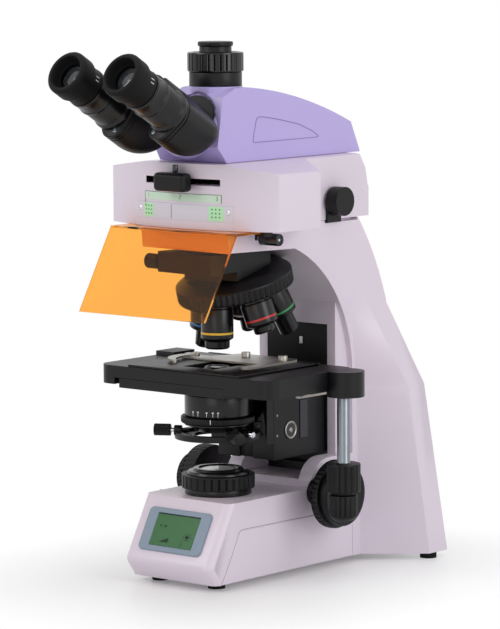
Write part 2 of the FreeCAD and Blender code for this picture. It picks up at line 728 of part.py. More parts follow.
def arm_casting():
    body = new_body("arm_casting_body")
    side = outline(
        new_sketch(body, "YZ_Plane"),
        [
            ("column_y", "foot_h"),
            ("back_foot_y", "foot_h"),
            ("back_mid_y", "back_mid_z", "back_r"),
            ("arm_top_y", "arm_top"),
            ("-beam_y - 3", "arm_top"),
            ("-beam_y", "beam_z + 2.5"),
            ("arch_top_y", "beam_z", "-arch_r"),
            ("column_y", "arch_foot_z"),
        ],
    )
    pad(body, side, "2 * base_half", both=True)
    front = rectangle(
        new_sketch(body, "YZ_Plane"), "block_y", "deck_z", "column_y + 6", "block_top"
    )
    pad(body, front, "2 * block_half", both=True)
    for edge, deep in (("0", "back_foot_y + 2 - (inlet_y - 3.5)"), ("4", "inlet_deep + 6.5")):
        inlet = rectangle(
            new_sketch(body, "XZ_Plane", "-back_foot_y - 2"),
            f"inlet_x - inlet_half + {edge} - gap",
            f"inlet_z - inlet_tall + 0.75 * {edge} - gap",
            f"switch_x + switch_half + 5 - 0.75 * {edge} + gap",
            f"inlet_z + inlet_tall - 0.75 * {edge} + gap",
        )
        cut(body, inlet, deep, back=True)
    lean = "(back_foot_y - back_mid_y) / (back_mid_z - foot_h)"
    levels = (
        ("foot_h", "leg_root_foot", "leg_edge_foot", "back_foot_y", "leg_foot_half"),
        (
            "leg_mid_z",
            "leg_root_mid",
            "leg_edge_mid",
            f"back_foot_y - (leg_mid_z - foot_h) * {lean}",
            "leg_mid_half",
        ),
        ("leg_top_z", "leg_root_top", "leg_edge_top", "leg_back_top", "leg_top_half"),
    )
    for side in (1, -1):
        sections = [leg_section(body, side, *level) for level in levels]
        loft = body.newObject("PartDesign::AdditiveLoft", "leg")
        loft.Profile = sections[0]
        loft.Sections = sections[1:]
        loft.Ruled = True
        settle(loft)
    panel = rectangle(
        new_sketch(body, "XZ_Plane", "-block_y"), "-panel_half", "step_z", "panel_half", "panel_top"
    )
    cut(body, panel, "panel_deep")
    light = circle(new_sketch(body, "XY_Plane", "arm_top"), "0", "0", "path_r")
    cut(body, light, "arm_top - beam_z + 5")
    groove = rectangle(
        new_sketch(body, "XY_Plane", "arm_top"),
        "base_half - groove_deep",
        "groove_front",
        "base_half + 1",
        "groove_rear",
    )
    cut(body, groove, "groove_tall")
    shutter = circle(new_sketch(body, "YZ_Plane", "base_half"), "rod_y", "rod_z", "rod_r + fit")
    cut(body, shutter, "base_half - rod_in + 12")
    put(node(body, "arm_casting"))


def rubber_feet():
    feet = []
    for x, y in (("front_foot_x", "-front_foot_y"), ("rear_foot_x", "rear_foot_y")):
        for sign in ("", "-"):
            feet.append(rod("foot_r", "foot_h", (f"{sign}{x}", y, "0")))
    put(node(group(feet), "rubber_feet"))


def lcd():
    slope = math.degrees(math.atan2(value("deck_z - nose_z"), value("nose_y - brow_y")))
    leaning = FreeCAD.Rotation(X, slope)
    y = "-brow_y - 0.5 * (nose_y - brow_y)"
    z = "deck_z - 0.5 * (deck_z - nose_z)"
    bezel = new_body("lcd_bezel_body")
    face = rectangle(new_sketch(bezel), "-bezel_half", "-bezel_len / 2", "bezel_half", "bezel_len / 2")
    pad(bezel, face, "bezel_h")
    round_off(bezel, "bezel_r", upright)
    window = rectangle(
        new_sketch(bezel, "XY_Plane", "bezel_h"), "-glass_half", "-glass_len / 2", "glass_half", "glass_len / 2"
    )
    cut(bezel, window, "bezel_h - 0.4")
    put(node(bezel, "lcd_bezel"), "0", y, z, leaning)
    pane = new_body("lcd_window_body")
    face = rectangle(
        new_sketch(pane, "XY_Plane", "0.4"),
        "-glass_half + 0.1",
        "-glass_len / 2 + 0.1",
        "glass_half - 0.1",
        "glass_len / 2 - 0.1",
    )
    pad(pane, face, "glass_h")
    put(node(pane, "lcd_window"), "0", y, z, leaning)


def power_inlet():
    seat = "inlet_y - 3.5"
    flange = block(
        ("inlet_x - inlet_half", seat, "inlet_z - inlet_tall"),
        ("switch_x + switch_half + 5", "inlet_y", "inlet_z + inlet_tall"),
    )
    core = block(
        ("inlet_x - inlet_half + 4", f"{seat} - inlet_deep", "inlet_z - inlet_tall + 3"),
        ("switch_x + switch_half + 2", seat, "inlet_z + inlet_tall - 3"),
    )
    socket = block(
        ("inlet_x - socket_half", "inlet_y - socket_deep", "inlet_z - socket_tall"),
        ("inlet_x + socket_half", "inlet_y + 1", "inlet_z + socket_tall"),
    )
    window = block(
        ("switch_x - switch_half - gap", "inlet_y - 15", "inlet_z - switch_tall - gap"),
        ("switch_x + switch_half + gap", "inlet_y + 1", "inlet_z + switch_tall + gap"),
    )
    pieces = [cut_away(fused([flange, core]), [socket, window])]
    for place in ("-7", "0", "7"):
        pieces.append(
            block(
                (f"inlet_x + {place} - 1", "inlet_y - socket_deep - 1", "inlet_z - 3"),
                (f"inlet_x + {place} + 1", "inlet_y - 3", "inlet_z + 1"),
            )
        )
    put(node(fused(pieces), "power_inlet"))


def power_switch():
    body = new_body("power_switch_body")
    profile = outline(
        new_sketch(body, "YZ_Plane"),
        [
            ("-5", "-6"),
            ("4.5", "-switch_tall + 0.8"),
            ("2.8", "0"),
            ("4.5", "switch_tall - 0.8"),
            ("-5", "6"),
        ],
    )
    pad(body, profile, "2 * switch_half", both=True)
    put(node(body, "power_switch"), "switch_x", "inlet_y - 6", "inlet_z")


def dimmer():
    body = turned(
        "brightness_knob_body",
        [
            ("0", "-base_wall"),
            ("dimmer_stem", "-base_wall"),
            ("dimmer_stem", "gap"),
            ("dimmer_r", "gap"),
            ("dimmer_r - 0.6", "dimmer_len - 1"),
            ("dimmer_r - 1.6", "dimmer_len"),
            ("0", "dimmer_len"),
        ],
    )
    knurl(body, "dimmer_r + 0.3", "gap", "dimmer_len + 1", "ribs / 2", "1")
    put(node(body, "brightness_knob"), "-base_half", "dimmer_y", "dimmer_z", AGAINST_X)


def lamp_module():
    floor = "foot_h + tray_wall"
    sink = block(("-26", "-22", floor), ("26", "24", "36"))
    grooves = []
    for step in range(5):
        left = f"{-22 + 10 * step}"
        grooves.append(block((left, "-23", f"{floor} + 5"), (f"{left} + 4", "25", "31")))
    tube = rod("16", "deck_z - base_wall - 36 - 2", ("0", "0", "36"))
    hollow = rod("13", "deck_z - base_wall - 36 + 1", ("0", "0", "38"))
    put(node(cut_away(fused([sink, tube]), grooves + [hollow]), "base_lamp"))


def field_optics():
    mount = turned(
        "field_mount_body",
        [
            ("field_bore", "deck_z"),
            ("mount_r", "deck_z"),
            ("mount_r", "deck_z + mount_h"),
            ("collar_r", "deck_z + mount_h"),
            ("collar_r", "ring_top + gap"),
            ("collar_r + 1", "ring_top + gap"),
            ("rim_r + 0.8", "rim_z - 0.8"),
            ("rim_r", "rim_z"),
            ("field_lens_r", "rim_z"),
            ("field_lens_r", "rim_z - 5"),
            ("field_bore", "rim_z - 5"),
        ],
    )
    put(node(mount, "field_mount"))
    iris = turned(
        "field_iris_ring_body", ring("deck_z + mount_h + gap", "ring_top", "collar_r + fit", "ring_r")
    )
    knurl(iris, "ring_r + 0.4", "deck_z + mount_h + 2.5", "ring_top - 2", "ribs", "1.4")
    put(node(iris, "field_iris_ring"))
    lens = turned(
        "field_lens_body",
        [
            ("0", "rim_z - 5"),
            ("field_lens_r", "rim_z - 5"),
            ("field_lens_r", "rim_z - 2"),
            ("0", "rim_z - 0.6"),
        ],
    )
    put(node(lens, "field_lens"))


def focus_drive():
    wall = "base_half + gap"
    bore = "spindle_r + fit"
    coarse = turned(
        "coarse_focus_body",
        [
            (bore, "-coarse_left - coarse_left_w"),
            ("coarse_r - 1", "-coarse_left - coarse_left_w"),
            ("coarse_r", "-coarse_left - coarse_left_w + 1"),
            ("coarse_r", "-coarse_left - 1"),
            ("coarse_r - 1", "-coarse_left"),
            ("hub_r", "-coarse_left"),
            ("hub_r", f"-({wall})"),
            ("sleeve_r", f"-({wall})"),
            ("sleeve_r", wall),
            ("hub_r", wall),
            ("hub_r", "coarse_right"),
            ("coarse_r - 1", "coarse_right"),
            ("coarse_r", "coarse_right + 1"),
            ("coarse_r", "coarse_right + coarse_right_w - 1"),
            ("coarse_r - 1", "coarse_right + coarse_right_w"),
            (bore, "coarse_right + coarse_right_w"),
        ],
    )
    knurl(coarse, "coarse_r + 0.6", "coarse_right - 1", "coarse_right + coarse_right_w + 1", "ribs", "1.6")
    knurl(coarse, "coarse_r + 0.6", "-coarse_left - coarse_left_w - 1", "-coarse_left + 1", "ribs", "1.6")
    put(node(coarse, "coarse_focus"), "0", "focus_y", "focus_z", ALONG_X)
    left = "-coarse_left - coarse_left_w - gap"
    right = "coarse_right + coarse_right_w + gap"
    fine = turned(
        "fine_focus_body",
        [
            ("0", f"{left} - fine_left_w"),
            ("fine_left_r - 1.5", f"{left} - fine_left_w"),
            ("fine_left_r", f"{left} - fine_left_w + 1.5"),
            ("fine_left_r", left),
            ("spindle_r", left),
            ("spindle_r", right),
            ("fine_right_r", right),
            ("fine_right_r", f"{right} + fine_right_w - 1"),
            ("fine_right_r - 1", f"{right} + fine_right_w"),
            ("0", f"{right} + fine_right_w"),
        ],
    )
    dent = circle(new_sketch(fine, "XY_Plane", f"{right} + fine_right_w"), "0", "fine_right_r - 9", "5.5")
    cut(fine, dent, "2")
    put(node(fine, "fine_focus"), "0", "focus_y", "focus_z", ALONG_X)


def guide_panel():
    body = new_body("guide_panel_body")
    face = rectangle(
        new_sketch(body, "XZ_Plane", "-block_y"), "-panel_half", "step_z", "panel_half", "panel_top"
    )
    pad(body, face, "panel_deep", back=True)
    channel = rectangle(
        new_sketch(body, "XZ_Plane", "-block_y"),
        "-guide_half - gap",
        "guide_low - guide_run",
        "guide_half + gap",
        "guide_high + guide_run",
    )
    cut(body, channel, "guide_thick + gap")
    put(node(body, "guide_panel"))


def stage_carrier():
    body = new_body("stage_carrier_body")
    main = rectangle(
        new_sketch(body, "XY_Plane", "carrier_low"), "-carrier_half", "carrier_y", "carrier_half", "block_y - gap"
    )
    pad(body, main, "plate_low - carrier_low")
    tongue = rectangle(
        new_sketch(body, "XY_Plane", "guide_low"),
        "-guide_half",
        "block_y - gap - 1",
        "guide_half",
        "block_y + guide_thick",
    )
    pad(body, tongue, "guide_high - guide_low")
    slot = rectangle(
        new_sketch(body, "XY_Plane", "plate_low"), "-8 - gap", "carrier_y - 1", "8 + gap", "carrier_y + 4 + gap"
    )
    cut(body, slot, "plate_low - carrier_low + 1")
    bore = circle(new_sketch(body, "YZ_Plane"), "lift_y", "lift_z", "lift_r + fit")
    cut(body, bore, "2 * carrier_half + 2", both=True)
    relief = rectangle(
        new_sketch(body, "XY_Plane", "plate_low - 12"),
        "-carrier_half + 8",
        "lift_y + 14",
        "carrier_half - 8",
        "block_y - 12",
    )
    cut(body, relief, "plate_low - carrier_low")
    put(node(body, "stage_carrier"))


def condenser_knob():
    face = "carrier_half + gap"
    body = turned(
        "condenser_knob_body",
        [
            ("0", "-carrier_half - 2"),
            ("lift_r", "-carrier_half - 2"),
            ("lift_r", face),
            ("lift_knob_r - 4", face),
            ("lift_knob_r - 4", f"{face} + 8"),
            ("lift_knob_r", f"{face} + 8"),
            ("lift_knob_r", f"{face} + 7 + lift_knob_w"),
            ("lift_knob_r - 1", f"{face} + 8 + lift_knob_w"),
            ("0", f"{face} + 8 + lift_knob_w"),
        ],
    )
    knurl(body, "lift_knob_r + 0.4", f"{face} + 7", f"{face} + 9 + lift_knob_w", "ribs * 0.75", "1.2")
    put(node(body, "condenser_knob"), "0", "lift_y", "lift_z", AGAINST_X)


def stage_plate():
    body = new_body("stage_plate_body")
    plan = rectangle(
        new_sketch(body, "XY_Plane", "plate_low"), "-plate_left", "-stage_front + 0.5", "plate_right", "plate_rear"
    )
    pad(body, plan, "plate_top - plate_low")
    hole = circle(new_sketch(body, "XY_Plane", "plate_top"), "0", "0", "tip_r + 5")
    cut(body, hole, "plate_top - plate_low + 1")
    put(node(body, "stage_plate"))


def stage_body():
    body = new_body("stage_body_body")
    plan = rectangle(
        new_sketch(body, "XY_Plane", "stage_low"), "-stage_half", "-stage_front", "stage_half", "stage_rear"
    )
    pad(body, plan, "stage_top - stage_low")
    round_off(body, "stage_r", upright)
    channel = rectangle(
        new_sketch(body, "XY_Plane", "stage_low"),
        "-plate_left - channel_gap",
        "-stage_front - 1",
        "plate_right + gap",
        "stage_rear + 1",
    )
    cut(body, channel, "plate_top + gap - stage_low", back=True)
    cap = circle(new_sketch(body, "XY_Plane", "cap_low"), "cap_x", "cap_y", "cap_r")
    pad(body, cap, "stage_top + 0.6 - cap_low")
    opening = rectangle(
        new_sketch(body, "XY_Plane", "stage_top"), "-slot_half", "-slot_front", "slot_half", "slot_rear"
    )
    cut(body, opening, "stage_top - stage_low")
    corner = rectangle(
        new_sketch(body, "XY_Plane", "stage_top - 1"), "-stage_half", "pad_front", "-pad_x", "pad_rear"
    )
    pad(body, corner, "pad_top - stage_top + 1")
    bearing = circle(new_sketch(body, "XY_Plane", "cap_low"), "cap_x", "drive_y", "drive_r + fit")
    cut(body, bearing, "12", back=True)
    rail = rectangle(new_sketch(body, "XY_Plane", "stage_low"), "rail_x + 12", "-6", "rail_x + 24", "62")
    pad(body, rail, "4", back=True)
    put(node(body, "stage_body"))


def stage_deck():
    body = new_body("stage_deck_body")
    plan = rectangle(
        new_sketch(body, "XY_Plane", "stage_top"), "-deck_half", "-deck_front", "deck_half", "deck_rear"
    )
    pad(body, plan, "deck_top - stage_top")
    opening = rectangle(
        new_sketch(body, "XY_Plane", "deck_top"), "-slot_half", "-slot_front", "slot_half", "slot_rear"
    )
    cut(body, opening, "deck_top - stage_top + 1")
    track = rectangle(
        new_sketch(body, "XY_Plane", "deck_top"), "-deck_half - 1", "slot_rear + 2", "deck_half + 1", "slot_rear + 6"
    )
    cut(body, track, "1.5")
    put(node(body, "stage_deck"))


def stage_drive():
    tube = turned(
        "stage_y_knob_body",
        [
            ("stalk_r + fit", "tall_knob_low"),
            ("tall_knob_r - 1", "tall_knob_low"),
            ("tall_knob_r", "tall_knob_low + 1"),
            ("tall_knob_r", "tall_knob_top - 1"),
            ("tall_knob_r - 1", "tall_knob_top"),
            ("drive_r", "tall_knob_top"),
            ("drive_r", "cap_low + 11"),
            ("stalk_r + fit", "cap_low + 11"),
        ],
    )
    knurl(tube, "tall_knob_r + 0.4", "tall_knob_low - 1", "tall_knob_top + 1", "ribs * 0.75", "1.2")
    put(node(tube, "stage_y_knob"), "cap_x", "drive_y", "0")
    stalk = turned(
        "stage_x_knob_body",
        [
            ("0", "low_knob_low"),
            ("low_knob_r - 4", "low_knob_low"),
            ("low_knob_r", "low_knob_low + 4"),
            ("low_knob_r", "low_knob_top - 1"),
            ("low_knob_r - 1", "low_knob_top"),
            ("stalk_r", "low_knob_top"),
            ("stalk_r", "cap_low + 10"),
            ("0", "cap_low + 10"),
        ],
    )
    knurl(stalk, "low_knob_r + 0.4", "low_knob_low + 3", "low_knob_top + 1", "ribs * 0.75", "1.1")
    put(node(stalk, "stage_x_knob"), "cap_x", "drive_y", "0")


def slide_holder():
    low = "deck_top + gap"
    top = f"{low} + holder_thick"
    body = new_body("slide_holder_body")
    plan = outline(
        new_sketch(body, "XY_Plane", low),
        [
            ("-holder_left", "holder_front + 4"),
            ("-jaw_x", "holder_front"),
            ("jaw_x", "holder_front"),
            ("jaw_x", "-jaw_front"),
            ("jaw_x + 4", "-jaw_front - 2"),
            ("holder_right", "-jaw_front"),
            ("holder_right", "slot_rear - 2"),
            ("holder_right - 6", "slot_rear + 5.5"),
            ("-24", "slot_rear + 5.5"),
            ("-34", "pad_front"),
            ("-holder_left", "pad_front - 1"),
        ],
    )
    pad(body, plan, "holder_thick")
    tongue = rectangle(
        new_sketch(body, "XY_Plane", "deck_top - 1.2"), "-24", "slot_rear + 2 + gap", "28", "slot_rear + 6 - gap"
    )
    pad(body, tongue, "1.2 + gap + 0.5")
    for x, y in (("-7", "49"), ("38", "49")):
        screw = circle(new_sketch(body, "XY_Plane", top), x, y, "4.2")
        pad(body, screw, "4.2")
    pin = circle(new_sketch(body, "XY_Plane", top), "-pivot_x", "pivot_y - 3", "pin_r")
    pad(body, pin, "3.4")
    put(node(body, "slide_holder"))


def slide_finger():
    low = "deck_top + gap + holder_thick + 0.1"
    body = new_body("slide_finger_body")
    plan = outline(
        new_sketch(body, "XY_Plane"),
        [
            ("-4", "0", "finger_r - 10"),
            ("12.5", "-47"),
            ("14.5", "-43", "5 - finger_r"),
            ("4", "0"),
        ],
    )
    pad(body, plan, "1.6")
    hub = circle(new_sketch(body, "XY_Plane"), "0", "0", "pivot_r")
    pad(body, hub, "2.2")
    tip = circle(new_sketch(body, "XY_Plane"), "12.8", "-44", "2")
    pad(body, tip, "holder_thick + 0.1", back=True)
    lever = rectangle(new_sketch(body, "XY_Plane"), "-11", "-2", "-3", "3")
    pad(body, lever, "1.6")
    bore = circle(new_sketch(body, "XY_Plane", "3"), "0", "0", "pin_r + fit")
    cut(body, bore, "4")
    put(node(body, "slide_finger"), "-pivot_x", "pivot_y - 3", low)


def condenser():
    fork = new_body("condenser_fork_body")
    main = rectangle(
        new_sketch(fork, "XY_Plane", "fork_low - 8"), "-carrier_half", "collar_r + 2", "carrier_half", "carrier_y - gap"
    )
    pad(fork, main, "42")
    hoop = circle(new_sketch(fork, "XY_Plane", "fork_low"), "0", "0", "fork_r")
    pad(fork, hoop, "fork_top - fork_low")
    room = circle(new_sketch(fork, "XY_Plane", "fork_top"), "0", "0", "iris_r + 1")
    cut(fork, room, "30", back=True)
    seat = circle(new_sketch(fork, "XY_Plane", "fork_low + 3"), "0", "0", "seat_r")
    cut(fork, seat, "fork_top - fork_low", back=True)
    light = circle(new_sketch(fork, "XY_Plane", "fork_low + 4"), "0", "0", "22")
    cut(fork, light, "14")
    tongue = rectangle(
        new_sketch(fork, "XY_Plane", "fork_low - 5"), "-8", "carrier_y - gap - 1", "8", "carrier_y + 4"
    )
    pad(fork, tongue, "36")
    for side in (1, -1):
        hole = circle(new_sketch(fork, "XZ_Plane"), f"{side} * screw_z * 0", "screw_z", "stem_r + fit")
        turn = FreeCAD.Rotation(Z, side * value("screw_angle"))
        hole.AttachmentOffset = FreeCAD.Placement(V(0, 0, 0), FreeCAD.Rotation(Y, side * value("screw_angle")))
        cut(fork, hole, "fork_r + 2", back=True)
    put(node(fork, "condenser_fork"))

    body = turned(
        "condenser_body_body",
        [
            ("11", "fork_low + 3"),
            ("26", "fork_low + 3"),
            ("26", "fork_top + 0.4"),
            ("31", "fork_top + 0.4"),
            ("31", "iris_low - gap"),
            ("29", "iris_low - gap"),
            ("29", "iris_top + gap"),
            ("body_r", "iris_top + gap"),
            ("body_r", "body_top - 1.5"),
            ("body_r - 1.5", "body_top"),
            ("tip_r + 5", "body_top"),
            ("tip_r + 2", "cone_top"),
            ("tip_r", "cone_top"),
            ("tip_r", "tip_top - 4"),
            ("tip_r - 4", "tip_top"),
            ("tip_lens_r", "tip_top"),
            ("tip_lens_r", "tip_top - 6"),
            ("11", "tip_top - 8"),
        ],
    )
    put(node(body, "condenser_body"))
    lens = turned(
        "condenser_lens_body",
        [
            ("0", "tip_top - 6"),
            ("tip_lens_r", "tip_top - 6"),
            ("tip_lens_r", "tip_top - 0.4"),
            ("0", "tip_top - 0.4"),
        ],
    )
    put(node(lens, "condenser_lens"))
    iris = turned("aperture_ring_body", ring("iris_low", "iris_top", "29 + fit", "iris_r"))
    knurl(iris, "iris_r + 0.4", "iris_low + 4", "iris_top + 1", "ribs * 1.25", "1.2")
    put(node(iris, "aperture_ring"))
    for side, label in ((1, "centring_screw_right"), (-1, "centring_screw_left")):
        screw = turned(
            label + "_body",
            [
                ("0", "26"),
                ("stem_r", "26"),
                ("stem_r", "screw_in"),
                ("screw_r - 1", "screw_in"),
                ("screw_r", "screw_in + 1"),
                ("screw_r", "screw_out - 1"),
                ("screw_r - 1", "screw_out"),
                ("0", "screw_out"),
            ],
        )
        knurl(screw, "screw_r + 0.3", "screw_in + 0.5", "screw_out + 1", "ribs / 2", "0.7")
        heading = FreeCAD.Rotation(Z, side * value("screw_angle")) * FreeCAD.Rotation(X, 90)
        put(node(screw, label), "0", "0", "screw_z", heading)


def turret_turn(place=0):
    """The rotation of an objective at one of the five places; place 0 is the working one."""
    lean = FreeCAD.Rotation(X, value("tilt"))
    return lean * FreeCAD.Rotation(Z, 72 * place) * lean.inverted()


def apex():
    return ("0", "0", "seat_z + reach")


def nosepiece():
    low = "-reach / cos(tilt) + 0.1"
    seat = "-(reach - 49 * sin(tilt)) / cos(tilt)"
    band = "-(reach - 24 * sin(tilt)) / cos(tilt) + 0.7"
    turret = turned(
        "nosepiece_turret_body",
        [
            ("0", low),
            ("49", seat),
            ("49", f"{band} - 7"),
            ("turret_r - 1", f"{band} - 7"),
            ("turret_r", f"{band} - 6"),
            ("turret_r", f"{band} + 6"),
            ("turret_r - 1", f"{band} + 7"),
            ("turret_dome_r", f"{band} + 16"),
            ("turret_neck_r", f"{band} + 17"),
            ("11", f"{band} + 17"),
            ("11", f"{band} + 30"),
            ("0", f"{band} + 30"),
        ],
    )
    knurl(turret, "turret_r + 0.6", f"{band} - 8", f"{band} + 7.5", "ribs * 1.5", "1.6")
    hole = circle(new_sketch(turret, "XY_Plane", "0"), "0", "0", "thread_r + 0.05")
    hole.AttachmentOffset = FreeCAD.Placement(
        FreeCAD.Rotation(X, -value("tilt")).multVec(V(0, 0, -value("reach") + value("thread_len"))),
        FreeCAD.Rotation(X, -value("tilt")),
    )
    around(turret, cut(turret, hole, "thread_len + 8"), "5")
    path = circle(new_sketch(turret, "XY_Plane", "0"), "0", "0", "8")
    path.AttachmentOffset = hole.AttachmentOffset
    around(turret, cut(turret, path, "22", back=True), "5")
    put(node(turret, "nosepiece_turret"), *apex(), FreeCAD.Rotation(X, value("tilt")))

    mount = new_body("nosepiece_mount_body")
    plane = "seat_z + reach - (reach - 24 * sin(tilt) - 18 * cos(tilt)) / cos(tilt) ^ 2"
    side = outline(
        new_sketch(mount, "YZ_Plane"),
        [
            ("-mount_front", "mount_low"),
            ("-8", "mount_low"),
            ("-8", f"{plane} - 8 * tan(tilt)"),
            ("mount_rear", f"{plane} + mount_rear * tan(tilt)"),
            ("mount_rear", "beam_z"),
            ("-mount_front", "beam_z"),
        ],
    )
    pad(mount, side, "2 * mount_half", both=True)
    pivot = circle(new_sketch(mount, "XY_Plane"), "0", "0", "11 + fit")
    lean = FreeCAD.Rotation(X, value("tilt"))
    pivot.AttachmentOffset = FreeCAD.Placement(
        V(0, 0, value("seat_z + reach")) + lean.multVec(V(0, 0, value(f"{band} + 30.4"))), lean
    )
    cut(mount, pivot, "30")
    light = circle(new_sketch(mount, "XY_Plane", "beam_z"), "0", "0", "8")
    cut(mount, light, "40")
    lock = circle(new_sketch(mount, "YZ_Plane", "-mount_half"), "-slider_y", "slider_z + 3", "2.5 + fit")
    cut(mount, lock, "16", back=True)
    put(node(mount, "nosepiece_mount"))
    screw = turned(
        "nosepiece_lock_body",
        [
            ("0", "-12"),
            ("2.5", "-12"),
            ("2.5", "5"),
            ("slider_r - 0.8", "5"),
            ("slider_r", "6"),
            ("slider_r", "18"),
            ("slider_r - 0.8", "19"),
            ("0", "19"),
        ],
    )
    knurl(screw, "slider_r + 0.3", "6", "20", "ribs / 2", "0.8")
    put(node(screw, "nosepiece_lock"), "-mount_half", "-slider_y", "slider_z + 3", AGAINST_X)


def objective(label, place, length, tip, shoulder):
    """One objective: thread above its seat, barrel below, stepping down to its front lens."""
    bore = "5"
    body = turned(
        label + "_body",
        [
            (bore, "thread_len"),
            ("thread_r", "thread_len"),
            ("thread_r", "0"),
            ("objective_r - 0.6", "0"),
            ("objective_r", "-0.6"),
            ("objective_r", "-9"),
            ("objective_r - 0.7", "-9.6"),
            ("objective_r - 0.7", "-11.4"),
            ("objective_r", "-12"),
            ("objective_r", f"-{shoulder}"),
            (f"{tip}", f"-{shoulder} - 2.5"),
            (f"{tip}", f"-{length} + 1.5"),
            (f"{tip} - 1.5", f"-{length}"),
            (bore, f"-{length}"),
        ],
    )
    at = turret_turn(place).multVec(V(0, 0, -value("reach")))
    put(
        node(body, label),
        f"{at.x}" if abs(at.x) > 1e-9 else "0",
        f"{at.y}" if abs(at.y) > 1e-9 else "0",
        f"seat_z + reach + ({at.z})",
        turret_turn(place),
    )


def objectives():
    objective("objective_10x", 0, "49.4", "11.5", "34")
    objective("objective_4x", 1, "41", "13", "30")
    objective("objective_20x", 2, "58", "9.5", "38")
    objective("objective_100x", 3, "60", "7", "41")
    objective("objective_40x", 4, "59.6", "8.5", "40")


def illuminator():
    body = new_body("illuminator_housing_body")
    plan = outline(
        new_sketch(body, "XY_Plane", "lamp_low"),
        [
            ("-lamp_half + 2", "-lamp_corner_y", "lamp_front_r"),
            ("lamp_half - 2", "-lamp_corner_y"),
            ("lamp_half", "lamp_side_y"),
            ("base_half", "lamp_join_y"),
            ("base_half", "lamp_tail_y"),
            ("-base_half", "lamp_tail_y"),
            ("-base_half", "lamp_join_y"),
            ("-lamp_half", "lamp_side_y"),
        ],
    )
    pad(body, plan, "lamp_top - lamp_low")
    rear = outline(
        new_sketch(body, "YZ_Plane"),
        [
            ("lamp_tail_y - 1", "lamp_tail_z"),
            ("lamp_tail_y + 2", "lamp_tail_z"),
            ("lamp_tail_y + 2", "lamp_top + 2"),
            ("lamp_tail_top", "lamp_top + 2"),
            ("lamp_tail_top", "lamp_top"),
            ("0.5 * (lamp_tail_top + lamp_tail_y) + 2", "lamp_top - 14"),
        ],
    )
    cut(body, rear, "2 * base_half + 2", both=True)
    for side in ("", "-"):
        slope = outline(
            new_sketch(body, "XZ_Plane"),
            [
                (f"{side}(crown_half)", "lamp_top"),
                (f"{side}(lamp_half + 4)", "lamp_top - crown_drop"),
                (f"{side}(lamp_half + 4)", "lamp_top + 4"),
            ],
        )
        cut(body, slope, "400", both=True)
    bay = rectangle(
        new_sketch(body, "XY_Plane", "bay_low"), "-bay_half", "-bay_front", "bay_half", "bay_rear"
    )
    cut(body, bay, "bay_top - bay_low", back=True)
    mouth = rectangle(
        new_sketch(body, "XZ_Plane"), "-slot_w", "slot_z - slot_tall", "slot_w", "slot_z + slot_tall"
    )
    cut(body, mouth, "60", back=True)
    light = circle(new_sketch(body, "XY_Plane", "lamp_low"), "0", "0", "path_r - 1")
    cut(body, light, "lamp_top - lamp_low + 1", back=True)
    beam = circle(new_sketch(body, "XZ_Plane"), "0", "352", "16")
    cut(body, beam, "lamp_join_y + 40")
    strip = rectangle(
        new_sketch(body, "XZ_Plane"), "-strip_half", "strip_z - strip_tall", "strip_half", "strip_z + strip_tall"
    )
    strip.setExpression("AttachmentOffset.Base.z", bound("lamp_corner_y + 14"))
    cut(body, strip, "12", back=True)
    plate = rectangle(
        new_sketch(body, "XZ_Plane"), "-label_half", "label_z - label_tall", "label_half", "label_z + label_tall"
    )
    plate.setExpression("AttachmentOffset.Base.z", bound("lamp_corner_y + 12"))
    cut(body, plate, "14", back=True)
    put(node(body, "illuminator_housing"))

    marks = []
    for half, low, high, depth in (
        ("strip_half", "strip_z - strip_tall", "strip_z + strip_tall", "lamp_corner_y + 14"),
        ("label_half", "label_z - label_tall", "label_z + label_tall", "lamp_corner_y + 12"),
    ):
        piece = new_body("front_labels_body")
        bulge = f"lamp_corner_y + sqrt(lamp_front_r ^ 2 - ({half}) ^ 2) - sqrt(lamp_front_r ^ 2 - (lamp_half - 2) ^ 2)"
        plan = outline(
            new_sketch(piece, "XY_Plane", f"{low} + 0.1"),
            [
                (f"-{half} + 0.1", f"-({depth})"),
                (f"-{half} + 0.1", f"-({bulge})", "lamp_front_r"),
                (f"{half} - 0.1", f"-({bulge})"),
                (f"{half} - 0.1", f"-({depth})"),
            ],
        )
        pad(piece, plan, f"({high}) - ({low}) - 0.2")
        marks.append(piece)
    put(node(group(marks), "front_labels"))


def filter_slider():
    cubes = []
    for place in ("-1", "0", "1"):
        middle = f"{place} * cube_pitch"
        outside = block(
            (f"{middle} - cube / 2", "-cube / 2", "bay_low + 1"), (f"{middle} + cube / 2", "cube / 2", "bay_low + 35")
        )
        down = rod("11", "40", (middle, "0", "bay_low"))
        across = block(
            (f"{middle} - 11", "0", "bay_low + 8"), (f"{middle} + 11", "cube / 2 + 1", "bay_low + 30")
        )
        cubes.append(cut_away(outside, [down, across]))
    bar = block(
        ("-cube_pitch - cube / 2", "-cube / 2 - 2", "bay_low + 34"),
        ("cube_pitch + cube / 2", "cube / 2", "bay_low + 38"),
    )
    windows = [rod("11", "8", (f"{place} * cube_pitch", "0", "bay_low + 32")) for place in ("-1", "0", "1")]
    stalk = block(
        ("-4", "-handle_rear - 1", "slot_z - slot_tall + gap"), ("4", "-cube / 2 - 1", "slot_z + slot_tall - gap")
    )
    handle = new_body("slider_handle_body")
    plan = rectangle(
        new_sketch(handle, "XY_Plane", "slot_z - handle_tall / 2"),
        "-handle_half",
        "-handle_front",
        "handle_half",
        "-handle_rear",
    )
    pad(handle, plan, "handle_tall")
    round_off(handle, "3", upright)
    slab = fused([cut_away(bar, windows), stalk, handle] + cubes)
    put(node(slab, "filter_slider"))


def lamp_head():
    tube = rod("15.6", "30", ("0", "lamp_join_y - 4", "352"), FreeCAD.Rotation(X, -90))
    core = rod("12", "24", ("0", "lamp_join_y - 6", "352"), FreeCAD.Rotation(X, -90))
    put(node(cut_away(tube, [core]), "fluorescence_lamp"))


